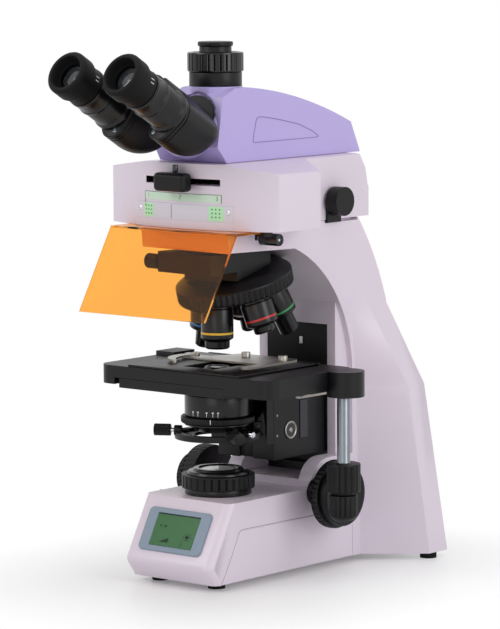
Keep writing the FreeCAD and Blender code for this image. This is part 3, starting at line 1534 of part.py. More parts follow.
def selector():
    body = new_body("selector_body")
    plate = rectangle(
        new_sketch(body, "YZ_Plane", "base_half + gap"),
        "-tab_half",
        "arm_top - groove_tall + gap",
        "tab_half",
        "selector_z + 4",
    )
    pad(body, plate, "tab_thick")
    foot = rectangle(
        new_sketch(body, "YZ_Plane", "base_half - groove_deep + 2"),
        "-tab_half",
        "arm_top - groove_tall + gap",
        "tab_half",
        "arm_top - 0.2",
    )
    pad(body, foot, "groove_deep")
    knob = circle(new_sketch(body, "YZ_Plane", "base_half + gap + tab_thick"), "0", "selector_z", "selector_r")
    pad(body, knob, "selector_w")
    put(node(body, "selector"), "0", "selector_y", "0")


def shutter_rod():
    body = turned(
        "shutter_rod_body",
        [
            ("0", "rod_in"),
            ("rod_r", "rod_in"),
            ("rod_r", "rod_out - 1.5"),
            ("rod_r - 1.5", "rod_out"),
            ("0", "rod_out"),
        ],
    )
    put(node(body, "shutter_rod"), "0", "rod_y", "rod_z", ALONG_X)


def shield():
    body = new_body("shield_body")
    side = outline(
        new_sketch(body, "YZ_Plane"),
        [
            ("-shield_top_y", "shield_top_z"),
            ("-shield_foot_y", "shield_foot_z"),
            ("-shield_foot_y + shield_thick", "shield_foot_z - 0.6"),
            ("-shield_top_y + shield_thick * 0.8", "shield_top_z - shield_thick"),
            ("-shield_rear", "shield_top_z - shield_thick"),
            ("-shield_rear", "shield_top_z"),
        ],
    )
    pad(body, side, "2 * shield_half", both=True)
    notch = rectangle(
        new_sketch(body, "XY_Plane", "shield_top_z + 1"),
        "-base_half - 1",
        "-beam_y - 5",
        "base_half + 1",
        "-shield_rear + 2",
    )
    cut(body, notch, "6")
    put(node(body, "shield"))
    rails = []
    for side_sign in ("", "-"):
        low, high = ("shield_half + gap", "shield_half + 5")
        if side_sign:
            low, high = (f"-({high})", f"-({low})")
        rails.append(block((low, "-28", "shield_top_z - 5"), (high, "-shield_rear + 6", "lamp_low")))
        low, high = ("shield_half - 5", "shield_half + 5")
        if side_sign:
            low, high = (f"-({high})", f"-({low})")
        rails.append(
            block((low, "-28", "shield_top_z - 5"), (high, "-shield_rear + 6", "shield_top_z - shield_thick - gap"))
        )
    put(node(group([fused(rails[:2]), fused(rails[2:])]), "shield_rails"))


def head():
    body = new_body("head_body_body")
    side = outline(
        new_sketch(body, "YZ_Plane"),
        [
            ("-head_front", "lamp_top + head_gap"),
            ("head_rear", "lamp_top + head_gap"),
            ("head_tail_y", "lamp_top + tail_up", "head_roof_r"),
            ("3", "lamp_top + crest_up"),
            ("-10", "lamp_top + crest_up - 0.8"),
            ("-forehead_y", "lamp_top + forehead_up"),
            ("-chin_y", "lamp_top + chin_up"),
        ],
    )
    pad(body, side, "2 * head_half", both=True)
    for sign in ("", "-"):
        flank = outline(
            new_sketch(body, "XZ_Plane"),
            [
                (f"{sign}(head_half)", "lamp_top + head_gap + 2"),
                (f"{sign}(head_top_half)", "lamp_top + crest_up + 2"),
                (f"{sign}(head_half + 3)", "lamp_top + crest_up + 2"),
                (f"{sign}(head_half + 3)", "lamp_top + head_gap + 2"),
            ],
        )
        cut(body, flank, "500", both=True)
    collar = circle(new_sketch(body, "XY_Plane", "lamp_top + crest_up - 8"), "0", "0", "collar_round")
    pad(body, collar, "collar_up - crest_up + 8")
    light = circle(new_sketch(body, "XY_Plane", "lamp_top + head_gap"), "0", "0", "12")
    cut(body, light, "collar_up - head_gap + 1", back=True)
    hinge = circle(new_sketch(body, "XY_Plane"), "0", "0", "barrel_r + fit")
    hinge.AttachmentOffset = FreeCAD.Placement(
        V(0, value("hinge_y"), value("lamp_top + hinge_up")), FreeCAD.Rotation(X, 90 - value("gaze"))
    )
    cut(body, hinge, "20")
    lip = circle(new_sketch(body, "XY_Plane"), "0", "0", "disc_r + 3")
    lip.AttachmentOffset = hinge.AttachmentOffset
    cut(body, lip, "40", back=True)
    put(node(body, "head_body"))


def photo_port():
    top = "lamp_top + collar_up + photo_low_h + photo_ring_h"
    tube = turned(
        "photo_tube_body",
        [
            ("photo_bore", "lamp_top + collar_up"),
            ("photo_r", "lamp_top + collar_up"),
            ("photo_r", "lamp_top + collar_up + photo_low_h - gap"),
            ("photo_r - 3", "lamp_top + collar_up + photo_low_h - gap"),
            ("photo_r - 3", f"{top} + 0.2"),
            ("photo_neck_r", f"{top} + 0.2"),
            ("photo_neck_r", f"{top} + photo_neck_h"),
            ("photo_bore", f"{top} + photo_neck_h"),
        ],
    )
    put(node(tube, "photo_tube"))
    band = turned(
        "photo_ring_body", ring("lamp_top + collar_up + photo_low_h", top, "photo_r - 3 + fit", "photo_ring_r", "1")
    )
    knurl(band, "photo_ring_r + 0.4", "lamp_top + collar_up + photo_low_h + 2", f"{top} - 2", "ribs", "1.3")
    put(node(band, "photo_ring"))
    cap = turned(
        "dust_cap_body",
        [
            ("0", f"{top} + photo_neck_h + 0.1"),
            ("dust_r", f"{top} + photo_neck_h + 0.1"),
            ("dust_r", f"{top} + photo_neck_h + dust_h - 1"),
            ("dust_r - 1", f"{top} + photo_neck_h + dust_h"),
            ("0", f"{top} + photo_neck_h + dust_h"),
        ],
    )
    stub = circle(new_sketch(cap, "XY_Plane", f"{top} + photo_neck_h + 0.2"), "0", "0", "photo_bore - 0.1")
    pad(cap, stub, "4", back=True)
    put(node(cap, "dust_cap"))


def hinge_turn():
    return FreeCAD.Rotation(X, 90 - value("gaze"))


def hinge_hub():
    body = turned(
        "hinge_hub_body",
        [
            ("6", "-18"),
            ("barrel_r", "-18"),
            ("barrel_r", "0"),
            ("disc_r", "0"),
            ("disc_r", "disc_h"),
            ("hinge_pin_r", "disc_h"),
            ("hinge_pin_r", "arm_high + 0.4"),
            ("6", "arm_high + 0.4"),
        ],
    )
    put(node(body, "hinge_hub"), "0", "hinge_y", "lamp_top + hinge_up", hinge_turn())


def eyepiece_arm(side, prefix):
    """One arm of the binocular: its housing turns on the hinge's pin by a knuckle."""
    sign = "" if side > 0 else "-"
    body = new_body(prefix + "_arm_body")
    section = [
        (f"{sign}2", "-4.8"),
        (f"{sign}(pupil_half - 13)", "-pupil_drop - 24.4"),
        (f"{sign}(pupil_half + 2)", "-pupil_drop - 25.7"),
        (f"{sign}(pupil_half + 17.3)", "-pupil_drop - 4.6"),
        (f"{sign}(pupil_half + 15.3)", "-pupil_drop + 9.4"),
        (f"{sign}(pupil_half + 10.3)", "-pupil_drop + 15.4"),
        (f"{sign}14", "14"),
        (f"{sign}5.6", "13"),
        (f"{sign}2", "4.9"),
    ]
    plan = outline(new_sketch(body, "XY_Plane", "arm_low"), section)
    pad(body, plan, "arm_high - arm_low")
    own, other = ("knuckle_split + gap", "arm_low"), ("arm_low", "knuckle_split - gap")
    if side > 0:
        ear_low, ear_high = "knuckle_split + gap / 2", "arm_high"
        free_low, free_high = "arm_low - 1", "knuckle_split + gap / 2"
    else:
        ear_low, ear_high = "arm_low", "knuckle_split - gap / 2"
        free_low, free_high = "knuckle_split - gap / 2", "arm_high + 1"
    room = circle(new_sketch(body, "XY_Plane", free_low), "0", "0", "knuckle_r + gap")
    cut(body, room, f"{free_high} - ({free_low})", back=True)
    ear = circle(new_sketch(body, "XY_Plane", ear_low), "0", "0", "knuckle_r")
    pad(body, ear, f"{ear_high} - ({ear_low})")
    bore = circle(new_sketch(body, "XY_Plane", "arm_low - 1"), "0", "0", "hinge_pin_r + fit")
    cut(body, bore, "arm_high", back=True)
    sight = circle(
        new_sketch(body, "XY_Plane", "arm_high"), f"{sign}pupil_half", "-pupil_drop", "tube_bore + 1"
    )
    cut(body, sight, "26")
    put(node(body, prefix + "_arm"), "0", "hinge_y", "lamp_top + hinge_up", hinge_turn())

    e = hinge_turn().multVec(V(side * value("pupil_half"), -value("pupil_drop"), 0))
    x, y, z = (f"{sign}pupil_half", f"hinge_y - pupil_drop * sin(gaze)", "lamp_top + hinge_up - pupil_drop * cos(gaze)")
    tube = turned(
        prefix + "_tube_body",
        [
            ("tube_bore + fit", "arm_high"),
            ("tube_r + 1.4", "arm_high"),
            ("tube_r + 1.4", "face_high - 3"),
            ("tube_r", "face_high"),
            ("tube_r", "tube_top"),
            ("tube_bore + fit", "tube_top"),
        ],
    )
    put(node(tube, prefix + "_tube"), x, y, z, hinge_turn())
    ocular = turned(
        prefix + "_eyepiece_body",
        [
            ("0", "ocular_low"),
            ("tube_bore", "ocular_low"),
            ("tube_bore", "tube_top + gap"),
            ("ocular_r", "tube_top + gap"),
            ("ocular_r - 0.6", "ocular_top"),
            ("eye_neck_r", "ocular_top"),
            ("eye_neck_r", "eye_neck_top"),
            ("0", "eye_neck_top"),
        ],
    )
    put(node(ocular, prefix + "_eyepiece"), x, y, z, hinge_turn())
    cup = turned(
        prefix + "_eyecup_body",
        [
            ("eye_neck_r + fit", "ocular_top + gap"),
            ("diopter_r", "ocular_top + gap"),
            ("diopter_r", "diopter_top"),
            ("eyecup_r", "diopter_top + 1"),
            ("eyecup_r", "eyecup_top - 2.5"),
            ("eyecup_r - 2.5", "eyecup_top"),
            ("eyecup_r - 5", "eyecup_top"),
            ("eye_lens_r + 3", "eye_neck_top + 4"),
            ("eye_lens_r + 1", "eye_neck_top + 1"),
            ("eye_neck_r + fit", "eye_neck_top + gap"),
        ],
    )
    put(node(cup, prefix + "_eyecup"), x, y, z, hinge_turn())


base_tray()
base_casting()
arm_casting()
rubber_feet()
lcd()
power_inlet()
power_switch()
dimmer()
lamp_module()
field_optics()
focus_drive()
guide_panel()
stage_carrier()
condenser_knob()
stage_plate()
stage_body()
stage_deck()
stage_drive()
slide_holder()
slide_finger()
condenser()
nosepiece()
objectives()
illuminator()
filter_slider()
lamp_head()
selector()
shutter_rod()
shield()
head()
photo_port()
hinge_hub()
eyepiece_arm(1, "right")
eyepiece_arm(-1, "left")


# Writing the pieces


def check(item):
    if {"Invalid", "Error"} & set(item.State):
        raise RuntimeError(f"{item.Name} ({item.Label}) failed: {item.State}")


doc.recompute()
for item in doc.Objects:
    check(item)
os.makedirs("parts", exist_ok=True)
for piece in NODES:
    if piece.Shape.isNull() or not piece.Shape.isValid():
        raise RuntimeError(f"{piece.Label} has no valid shape")
    piece.Shape.exportStep(os.path.join("parts", piece.Label + ".step"))
print(f"{len(NODES)} pieces written")
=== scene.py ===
# %% [markdown]
# # An upright fluorescence microscope
# The CAD model is the fixed frame of this scene. Its castings have the right shape but razor-sharp
# edges, and its round parts are coarse. So each casting is copied and its edges are rounded, and each
# turned part (knobs, rings, objectives, eyepieces) is worked out again with numpy as a surface of
# revolution, with its grooves and knurls in the geometry.

import json
import math

import bmesh
import bpy
import numpy as np
from mathutils import Matrix, Vector

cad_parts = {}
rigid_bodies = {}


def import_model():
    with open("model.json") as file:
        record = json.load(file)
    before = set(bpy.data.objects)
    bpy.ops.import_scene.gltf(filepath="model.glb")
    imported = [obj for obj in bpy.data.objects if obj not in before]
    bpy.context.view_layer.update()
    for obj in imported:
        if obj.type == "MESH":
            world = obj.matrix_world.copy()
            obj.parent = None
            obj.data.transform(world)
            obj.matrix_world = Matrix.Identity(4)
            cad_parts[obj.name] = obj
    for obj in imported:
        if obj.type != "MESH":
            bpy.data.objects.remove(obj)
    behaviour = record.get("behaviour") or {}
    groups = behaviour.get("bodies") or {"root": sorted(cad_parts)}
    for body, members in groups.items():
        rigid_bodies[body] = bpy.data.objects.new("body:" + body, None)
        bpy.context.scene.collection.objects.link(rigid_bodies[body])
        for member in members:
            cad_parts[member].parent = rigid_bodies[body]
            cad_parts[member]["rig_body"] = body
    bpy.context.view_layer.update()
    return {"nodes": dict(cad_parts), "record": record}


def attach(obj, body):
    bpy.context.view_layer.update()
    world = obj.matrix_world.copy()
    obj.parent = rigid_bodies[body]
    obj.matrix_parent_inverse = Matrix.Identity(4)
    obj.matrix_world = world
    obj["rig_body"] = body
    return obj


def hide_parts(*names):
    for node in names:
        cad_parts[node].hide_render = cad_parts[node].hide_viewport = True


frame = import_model()
MM = 0.001
AXIS = np.array([-12.0, -20.0, 0.0])  # the optical axis in the frame, in millimetres
scene = bpy.context.scene


# %% [markdown]
# ## Camera
# The photograph was taken from the front right, slightly above the stage, with a long lens, so that
# upright edges stay almost parallel. The camera's turn is given by its azimuth, elevation and roll.
# Euler angles found by trial would do too, but a matrix from three measured angles is exact and short.

# %% Camera
AZIMUTH, ELEVATION, ROLL = np.radians([40.13, 6.63, -0.32])
CAMERA_AT = np.array([2086.46, -2462.37, 619.31]) * MM
FOCAL, SENSOR = 201.2, 36.0


def camera_axes():
    """Right, up and back of the camera: back from the two angles, the others turned by the roll."""
    across = math.cos(ELEVATION)
    back = np.array([math.sin(AZIMUTH) * across, -math.cos(AZIMUTH) * across, math.sin(ELEVATION)])
    right = np.array([math.cos(AZIMUTH), math.sin(AZIMUTH), 0.0])
    up = np.cross(back, right)
    c, s = math.cos(ROLL), math.sin(ROLL)
    return c * right + s * up, -s * right + c * up, back


camera_data = bpy.data.cameras.new("camera")
camera_data.lens = FOCAL
camera_data.sensor_width = SENSOR
camera_data.clip_end = 30
camera = bpy.data.objects.new("camera", camera_data)
pose = np.eye(4)
pose[:3, :3] = np.array(camera_axes()).T
pose[:3, 3] = CAMERA_AT
camera.matrix_world = Matrix(pose.tolist())
scene.collection.objects.link(camera)
scene.camera = camera
scene.view_settings.view_transform = "Standard"
print("camera", CAMERA_AT.round(3))


# %% [markdown]
# ## Studio
# The instrument stands on white paper in soft light. What the camera and mirror-like surfaces see of the
# world is white, while the light itself comes from a dim sky and four soft boxes, so that pale paint
# keeps its colour. The floor glows white far away and takes a faint shadow near the feet.

# %% World
world = bpy.data.worlds.new("studio")
scene.world = world
SKY_LIGHT = 0.40
world.use_nodes = True
sky = world.node_tree
sky.nodes.clear()
rays = sky.nodes.new("ShaderNodeLightPath")
seen = sky.nodes.new("ShaderNodeMath")
seen.operation = "ADD"
seen_all = sky.nodes.new("ShaderNodeMath")
seen_all.operation = "ADD"
seen_all.use_clamp = True
dim = sky.nodes.new("ShaderNodeBackground")
dim.inputs["Strength"].default_value = SKY_LIGHT
white = sky.nodes.new("ShaderNodeBackground")
for shade in (dim, white):
    shade.inputs["Color"].default_value = (1, 1, 1, 1)
choose = sky.nodes.new("ShaderNodeMixShader")
sky_out = sky.nodes.new("ShaderNodeOutputWorld")
sky.links.new(rays.outputs["Is Camera Ray"], seen.inputs[0])
sky.links.new(rays.outputs["Is Glossy Ray"], seen.inputs[1])
sky.links.new(seen.outputs[0], seen_all.inputs[0])
sky.links.new(rays.outputs["Is Transmission Ray"], seen_all.inputs[1])
sky.links.new(seen_all.outputs[0], choose.inputs[0])
sky.links.new(dim.outputs[0], choose.inputs[1])
sky.links.new(white.outputs[0], choose.inputs[2])
sky.links.new(choose.outputs[0], sky_out.inputs[0])


# %% Soft boxes
LAMPS_FACE = Vector((0, 0, 0.25))


def soft_box(name, at, size, power):
    """A rectangular area lamp at a point in metres, facing the middle of the instrument."""
    data = bpy.data.lights.new(name, "AREA")
    data.shape = "RECTANGLE"
    data.size, data.size_y = size
    data.energy = power
    piece = bpy.data.objects.new(name, data)
    scene.collection.objects.link(piece)
    piece.location = at
    piece.rotation_euler = (LAMPS_FACE - Vector(at)).to_track_quat("-Z", "Y").to_euler()


soft_box("key", (-0.9, -1.7, 1.4), (1.2, 1.0), 13)
soft_box("side", (1.9, 0.0, 0.9), (0.9, 1.4), 13)
soft_box("top", (0.1, -0.1, 1.9), (1.5, 1.5), 8)
soft_box("low_front", (0.7, -1.9, 0.35), (1.0, 0.5), 2)


# %% Paper floor
BASE_MIDDLE, BASE_HALF = (-0.012, 0.02, 0), (0.05, 0.11, 0)
FADE_LENGTH, GLOW_AT_BASE = 0.20, 0.15  # metres from the base to full glow, and the share left beside it
floor_mesh = bpy.data.meshes.new("paper")
floor_mesh.from_pydata([(-4, -4, 0), (4, -4, 0), (4, 4, 0), (-4, 4, 0)], [], [(0, 1, 2, 3)])
floor = bpy.data.objects.new("paper", floor_mesh)
scene.collection.objects.link(floor)
paper = bpy.data.materials.new("white_paper")
paper.use_nodes = True
tree = paper.node_tree
matt = tree.nodes["Principled BSDF"]
matt.inputs["Base Color"].default_value = (0.92, 0.92, 0.92, 1)
matt.inputs["Roughness"].default_value = 0.35
glow = tree.nodes.new("ShaderNodeEmission")
where = tree.nodes.new("ShaderNodeTexCoord")
from_middle = tree.nodes.new("ShaderNodeVectorMath")
from_middle.operation = "SUBTRACT"
from_middle.inputs[1].default_value = BASE_MIDDLE
either_side = tree.nodes.new("ShaderNodeVectorMath")
either_side.operation = "ABSOLUTE"
beyond = tree.nodes.new("ShaderNodeVectorMath")
beyond.operation = "SUBTRACT"
beyond.inputs[1].default_value = BASE_HALF
outside = tree.nodes.new("ShaderNodeVectorMath")
outside.operation = "MAXIMUM"
far = tree.nodes.new("ShaderNodeVectorMath")
far.operation = "LENGTH"
fade = tree.nodes.new("ShaderNodeMapRange")
fade.inputs["From Min"].default_value = 0.0
fade.inputs["From Max"].default_value = FADE_LENGTH
fade.inputs["To Min"].default_value = GLOW_AT_BASE
seen_by = tree.nodes.new("ShaderNodeLightPath")
through = tree.nodes.new("ShaderNodeMath")
through.operation = "ADD"
reflected = tree.nodes.new("ShaderNodeMath")
reflected.operation = "ADD"
reflected.use_clamp = True
share = tree.nodes.new("ShaderNodeMath")
share.operation = "MULTIPLY"
both = tree.nodes.new("ShaderNodeMixShader")
tree.links.new(where.outputs["Object"], from_middle.inputs[0])
tree.links.new(from_middle.outputs["Vector"], either_side.inputs[0])
tree.links.new(either_side.outputs["Vector"], beyond.inputs[0])
tree.links.new(beyond.outputs["Vector"], outside.inputs[0])
tree.links.new(outside.outputs["Vector"], far.inputs[0])
tree.links.new(far.outputs["Value"], fade.inputs["Value"])
tree.links.new(fade.outputs["Result"], share.inputs[0])
tree.links.new(seen_by.outputs["Is Camera Ray"], through.inputs[0])
tree.links.new(seen_by.outputs["Is Transmission Ray"], through.inputs[1])
tree.links.new(through.outputs[0], reflected.inputs[0])
tree.links.new(seen_by.outputs["Is Glossy Ray"], reflected.inputs[1])
tree.links.new(reflected.outputs[0], share.inputs[1])
tree.links.new(share.outputs[0], both.inputs[0])
tree.links.new(matt.outputs[0], both.inputs[1])
tree.links.new(glow.outputs[0], both.inputs[2])
tree.links.new(both.outputs[0], tree.nodes["Material Output"].inputs["Surface"])
floor_mesh.materials.append(paper)


# %% [markdown]
# ## Finishes
# Every finish is built from nodes on Object coordinates, which are the frame's own here. Paint on a
# casting shows a faint orange peel, anodised metal a fine satin grain, rubber a coarser one. One
# function makes them all, because they differ only in colour, gloss, scale and strength.

# %% Finish maker
def linear(red, green, blue):
    """A colour as 0 to 255 on a screen, turned into linear light by the screen's own curve."""
    c = np.array([red, green, blue]) / 255
    return tuple(np.where(c <= 0.04045, c / 12.92, ((c + 0.055) / 1.055) ** 2.4).tolist()) + (1.0,)


CLOUD_SCALE, RELIEF_DEPTH, POLISH_DRIFT = 14, 0.0003, 0.05


def finish(
    name, colour, rough, grain=900, bump=0.03, metal=0.0, coat=0.0, drift=0.04, stretch=None, shine=0.5
):
    """Colour that drifts slowly over the piece, and one fine noise that moves gloss and surface alike."""
    material = bpy.data.materials.new(name)
    material.use_nodes = True
    tree = material.node_tree
    shader = tree.nodes["Principled BSDF"]
    shader.inputs["Specular IOR Level"].default_value = shine
    shader.inputs["Metallic"].default_value = metal
    shader.inputs["Coat Weight"].default_value = coat
    shader.inputs["Coat Roughness"].default_value = 0.15
    where = tree.nodes.new("ShaderNodeTexCoord")
    cloud = tree.nodes.new("ShaderNodeTexNoise")
    cloud.inputs["Scale"].default_value = CLOUD_SCALE
    shade = tree.nodes.new("ShaderNodeMix")
    shade.data_type = "RGBA"
    dark, light = shade.inputs[6], shade.inputs[7]
    base = np.array(linear(*colour)[:3])
    dark.default_value = tuple((base * (1 - drift)).tolist()) + (1,)
    light.default_value = tuple(np.minimum(base * (1 + drift), 1).tolist()) + (1,)
    fine = tree.nodes.new("ShaderNodeTexNoise")
    fine.inputs["Scale"].default_value = grain
    fine.inputs["Detail"].default_value = 4
    spread = tree.nodes.new("ShaderNodeMapping")
    spread.inputs["Scale"].default_value = stretch or (1, 1, 1)
    polish = tree.nodes.new("ShaderNodeMapRange")
    polish.inputs["To Min"].default_value = max(rough - POLISH_DRIFT, 0.02)
    polish.inputs["To Max"].default_value = rough + POLISH_DRIFT
    relief = tree.nodes.new("ShaderNodeBump")
    relief.inputs["Strength"].default_value = bump
    relief.inputs["Distance"].default_value = RELIEF_DEPTH
    for source, target in (
        (where.outputs["Object"], cloud.inputs["Vector"]),
        (where.outputs["Object"], spread.inputs["Vector"]),
        (spread.outputs["Vector"], fine.inputs["Vector"]),
        (cloud.outputs["Fac"], shade.inputs[0]),
        (shade.outputs[2], shader.inputs["Base Color"]),
        (fine.outputs["Fac"], polish.inputs["Value"]),
        (polish.outputs["Result"], shader.inputs["Roughness"]),
        (fine.outputs["Fac"], relief.inputs["Height"]),
        (relief.outputs["Normal"], shader.inputs["Normal"]),
    ):
        tree.links.new(source, target)
    return material


# %% Paints, metals and rubbers
lilac = finish("lilac_paint", (224, 212, 226), 0.36, grain=1400, bump=0.08, coat=0.15, drift=0.015)
violet = finish("violet_paint", (186, 172, 226), 0.34, grain=1400, bump=0.08, coat=0.15, drift=0.015)
# A darker violet that stands for the shade inside the head's shallow grooves: painted shade.
violet_groove_shade = finish("violet_groove_shade", (134, 122, 176), 0.5, grain=1400, bump=0.05)
lilac_seam = finish("lilac_seam", (150, 128, 148), 0.5, grain=1400, bump=0.05)
satin = finish("satin_black", (17, 17, 20), 0.38, grain=2600, bump=0.08, drift=0.10, shine=0.25)
moulded = finish("moulded_black", (16, 16, 18), 0.42, grain=1800, bump=0.2, drift=0.10, shine=0.22)
gloss = finish("gloss_black", (10, 10, 12), 0.18, grain=700, bump=0.01, drift=0.05, shine=0.4)
rubber = finish("eyecup_rubber", (12, 12, 13), 0.58, grain=1500, bump=0.2, drift=0.12, shine=0.15)
foot_rubber = finish("foot_rubber", (16, 16, 17), 0.75, grain=1200, bump=0.25, drift=0.15, shine=0.15)
chrome = finish("satin_chrome", (206, 206, 210), 0.17, grain=500, bump=0.01, metal=1.0, drift=0.02)
steel = finish("brushed_steel", (196, 196, 200), 0.28, metal=1.0, bump=0.06, stretch=(0.05, 1, 1))
grey_steel = finish("grey_steel", (128, 134, 140), 0.30, metal=1.0, bump=0.05, stretch=(1, 1, 0.05))
aluminium = finish("turned_aluminium", (188, 188, 192), 0.32, grain=1600, bump=0.05, metal=1.0)
lens_barrel = finish("lens_barrel_black", (13, 13, 15), 0.25, grain=900, bump=0.02, drift=0.06, shine=0.35)
holder_steel = finish("holder_steel", (158, 154, 148), 0.34, metal=1.0, bump=0.06, stretch=(0.05, 1, 1))
gunmetal = finish("gunmetal", (66, 66, 70), 0.28, metal=1.0, bump=0.03)
frosted = finish("frosted_lens", (176, 176, 182), 0.30, grain=600, bump=0.02, coat=0.6)
clear_label = finish("clear_label", (216, 212, 224), 0.16, grain=600, bump=0.01, coat=0.5, drift=0.01)
bezel_grey = finish("bezel_grey", (128, 144, 162), 0.40, grain=1500, bump=0.1)
display = finish("display_green", (54, 108, 62), 0.20, grain=300, bump=0.01, drift=0.05, shine=0.3)
# This dark finish draws the display's segments and also the painted shadow along the window's top edge.
segments_and_shadow = finish("display_segments_and_shadow", (12, 28, 18), 0.30, grain=300, bump=0.01, shine=0.15)
label = finish("pale_label", (206, 230, 208), 0.30, grain=600, bump=0.02, coat=0.3)
green_label = finish("green_label", (190, 236, 192), 0.32, grain=600, bump=0.02)
white_ink = finish("white_marks", (232, 232, 232), 0.45, bump=0.02)
dark_ink = finish("dark_marks", (44, 48, 50), 0.45, bump=0.02)
red_band = finish("red_band", (196, 36, 40), 0.35, bump=0.02)
yellow_band = finish("yellow_band", (230, 190, 44), 0.35, bump=0.02)
green_band = finish("green_band", (44, 150, 84), 0.35, bump=0.02)
blue_band = finish("blue_band", (56, 124, 200), 0.35, bump=0.02)
white_band = finish("white_band", (228, 228, 228), 0.35, bump=0.02)


# %% [markdown]
# Glass and the amber sheet let light through. The sheet is 2.4 mm of tinted acrylic, so its colour is
# written on the shader and counts once on the way in and once on the way out.

# %% Clear finishes
def clear(name, colour, rough, index):
    """A see-through finish, with a faint unevenness of its polish."""
    material = finish(name, colour, rough, grain=60, bump=0.004, coat=0.2, drift=0.01)
    shader = material.node_tree.nodes["Principled BSDF"]
    shader.inputs["Transmission Weight"].default_value = 1.0
    shader.inputs["IOR"].default_value = index
    return material


amber = clear("amber_sheet", (255, 176, 74), 0.05, 1.15)
glass = clear("lens_glass", (216, 228, 238), 0.05, 1.5)
FINISH_OF = {
    "stand_paint": lilac,
    "head_paint": violet,
    "black_metal": satin,
    "black_plastic": moulded,
    "grey_plastic": bezel_grey,
    "display": display,
    "black_rubber": foot_rubber,
    "eyecup_rubber": rubber,
    "bare_aluminium": aluminium,
    "bright_steel": steel,
    "objective_metal": lens_barrel,
    "lens_glass": glass,
    "amber_plastic": amber,
    "label": label,
}
slot_of = {part["node"]: part["material_slot"] for part in frame["record"]["subparts"]}
for name, node in frame["nodes"].items():
    node.data.materials.clear()
    node.data.materials.append(FINISH_OF[slot_of[name]])
print(len(FINISH_OF), "finishes on", len(slot_of), "nodes")


# %% [markdown]
# ## Surfaces of revolution
# A turned part is a profile of (radius, height) corners that goes round an axis. Real corners are never
# sharp, so each one first becomes a short curve between its two edges. Ribs take a wave off the radius.
# Blender's Spin could turn a profile too, but a grid of points from numpy keeps ribs and colours simple.

# %% Profile helpers
def rounded(corners, radius, steps=3):
    """Each corner p becomes (1-s)^2 a + 2s(1-s) p + s^2 b, where a and b lie on its two edges."""
    p = np.asarray(corners, float)
    back, ahead = np.roll(p, 1, 0) - p, np.roll(p, -1, 0) - p
    long_back = np.maximum(np.linalg.norm(back, axis=1, keepdims=True), 1e-9)
    long_ahead = np.maximum(np.linalg.norm(ahead, axis=1, keepdims=True), 1e-9)
    reach = np.minimum(radius, 0.45 * np.minimum(long_back, long_ahead))
    reach = np.where(p[:, :1] < 1e-6, 0, reach)  # a corner on the axis stays a point
    a, b = p + back / long_back * reach, p + ahead / long_ahead * reach
    s = np.linspace(0, 1, steps)[None, :, None]
    curve = (1 - s) ** 2 * a[:, None] + 2 * s * (1 - s) * p[:, None] + s**2 * b[:, None]
    return curve.reshape(-1, 2)


def with_heights(profile, heights):
    """The same closed profile, with a point wherever one of its edges passes a given height."""
    after = np.roll(profile, -1, 0)
    rise = after[:, 1] - profile[:, 1]
    share = (np.asarray(heights, float)[None, :] - profile[:, 1:]) / np.where(rise == 0, 1, rise)[:, None]
    edge, which = np.nonzero((share > 1e-6) & (share < 1 - 1e-6) & (rise != 0)[:, None])
    at = share[edge, which]
    extra = profile[edge] + at[:, None] * (after[edge] - profile[edge])
    order = np.argsort(np.concatenate([np.arange(len(profile)), edge + at]), kind="stable")
    return np.concatenate([profile, extra])[order]


def axes_along(direction):
    """Two unit vectors square to a direction, and the direction itself, as the columns of a matrix."""
    w = np.asarray(direction, float) / np.linalg.norm(direction)
    guide = np.array([0.0, 0, 1]) if abs(w[2]) < 0.9 else np.array([0.0, -1, 0])
    u = np.cross(guide, w)
    u /= np.linalg.norm(u)
    return np.column_stack([u, np.cross(w, u), w])


def grid_faces(rows, columns, closed_rows=True, closed_columns=True):
    """One quad between each four neighbours of a grid of points, wrapping round where it is closed."""
    i = np.arange(rows if closed_rows else rows - 1)
    j = np.arange(columns if closed_columns else columns - 1)
    i, j = np.meshgrid(i, j, indexing="ij")
    k, m = (i + 1) % rows, (j + 1) % columns
    return np.stack([i * columns + j, k * columns + j, k * columns + m, i * columns + m], -1).reshape(-1, 4)


# %% Mesh helpers
UP, RIGHT, LEFT = (0, 0, 1), (1, 0, 0), (-1, 0, 0)


def add_mesh(name, points, faces, body, slot, material, smooth=35):
    """Puts points in millimetres about the optical axis, and their faces, into a piece on a body."""
    mesh = bpy.data.meshes.new(name)
    mesh.from_pydata(((np.asarray(points) + AXIS) * MM).tolist(), [], np.asarray(faces).tolist())
    work = bmesh.new()
    work.from_mesh(mesh)
    bmesh.ops.remove_doubles(work, verts=work.verts, dist=2e-7)
    bmesh.ops.recalc_face_normals(work, faces=work.faces)
    work.to_mesh(mesh)
    work.free()
    mesh.shade_smooth()
    mesh.set_sharp_from_angle(angle=math.radians(smooth))
    mesh.materials.append(material)
    piece = bpy.data.objects.new(name, mesh)
    scene.collection.objects.link(piece)
    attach(piece, body)
    return piece


def colour_bands(piece, at, axis, bands):
    """Gives each face whose centre lies between two heights along an axis that band's own finish."""
    mesh = piece.data
    centres = np.zeros(len(mesh.polygons) * 3)
    mesh.polygons.foreach_get("center", centres)
    heights = (centres.reshape(-1, 3) / MM - AXIS - np.asarray(at, float)) @ axis
    index = np.zeros(len(heights), np.int32)
    for low, high, material in bands:
        mesh.materials.append(material)
        index[(heights > low) & (heights < high)] = len(mesh.materials) - 1
    mesh.polygons.foreach_set("material_index", index)


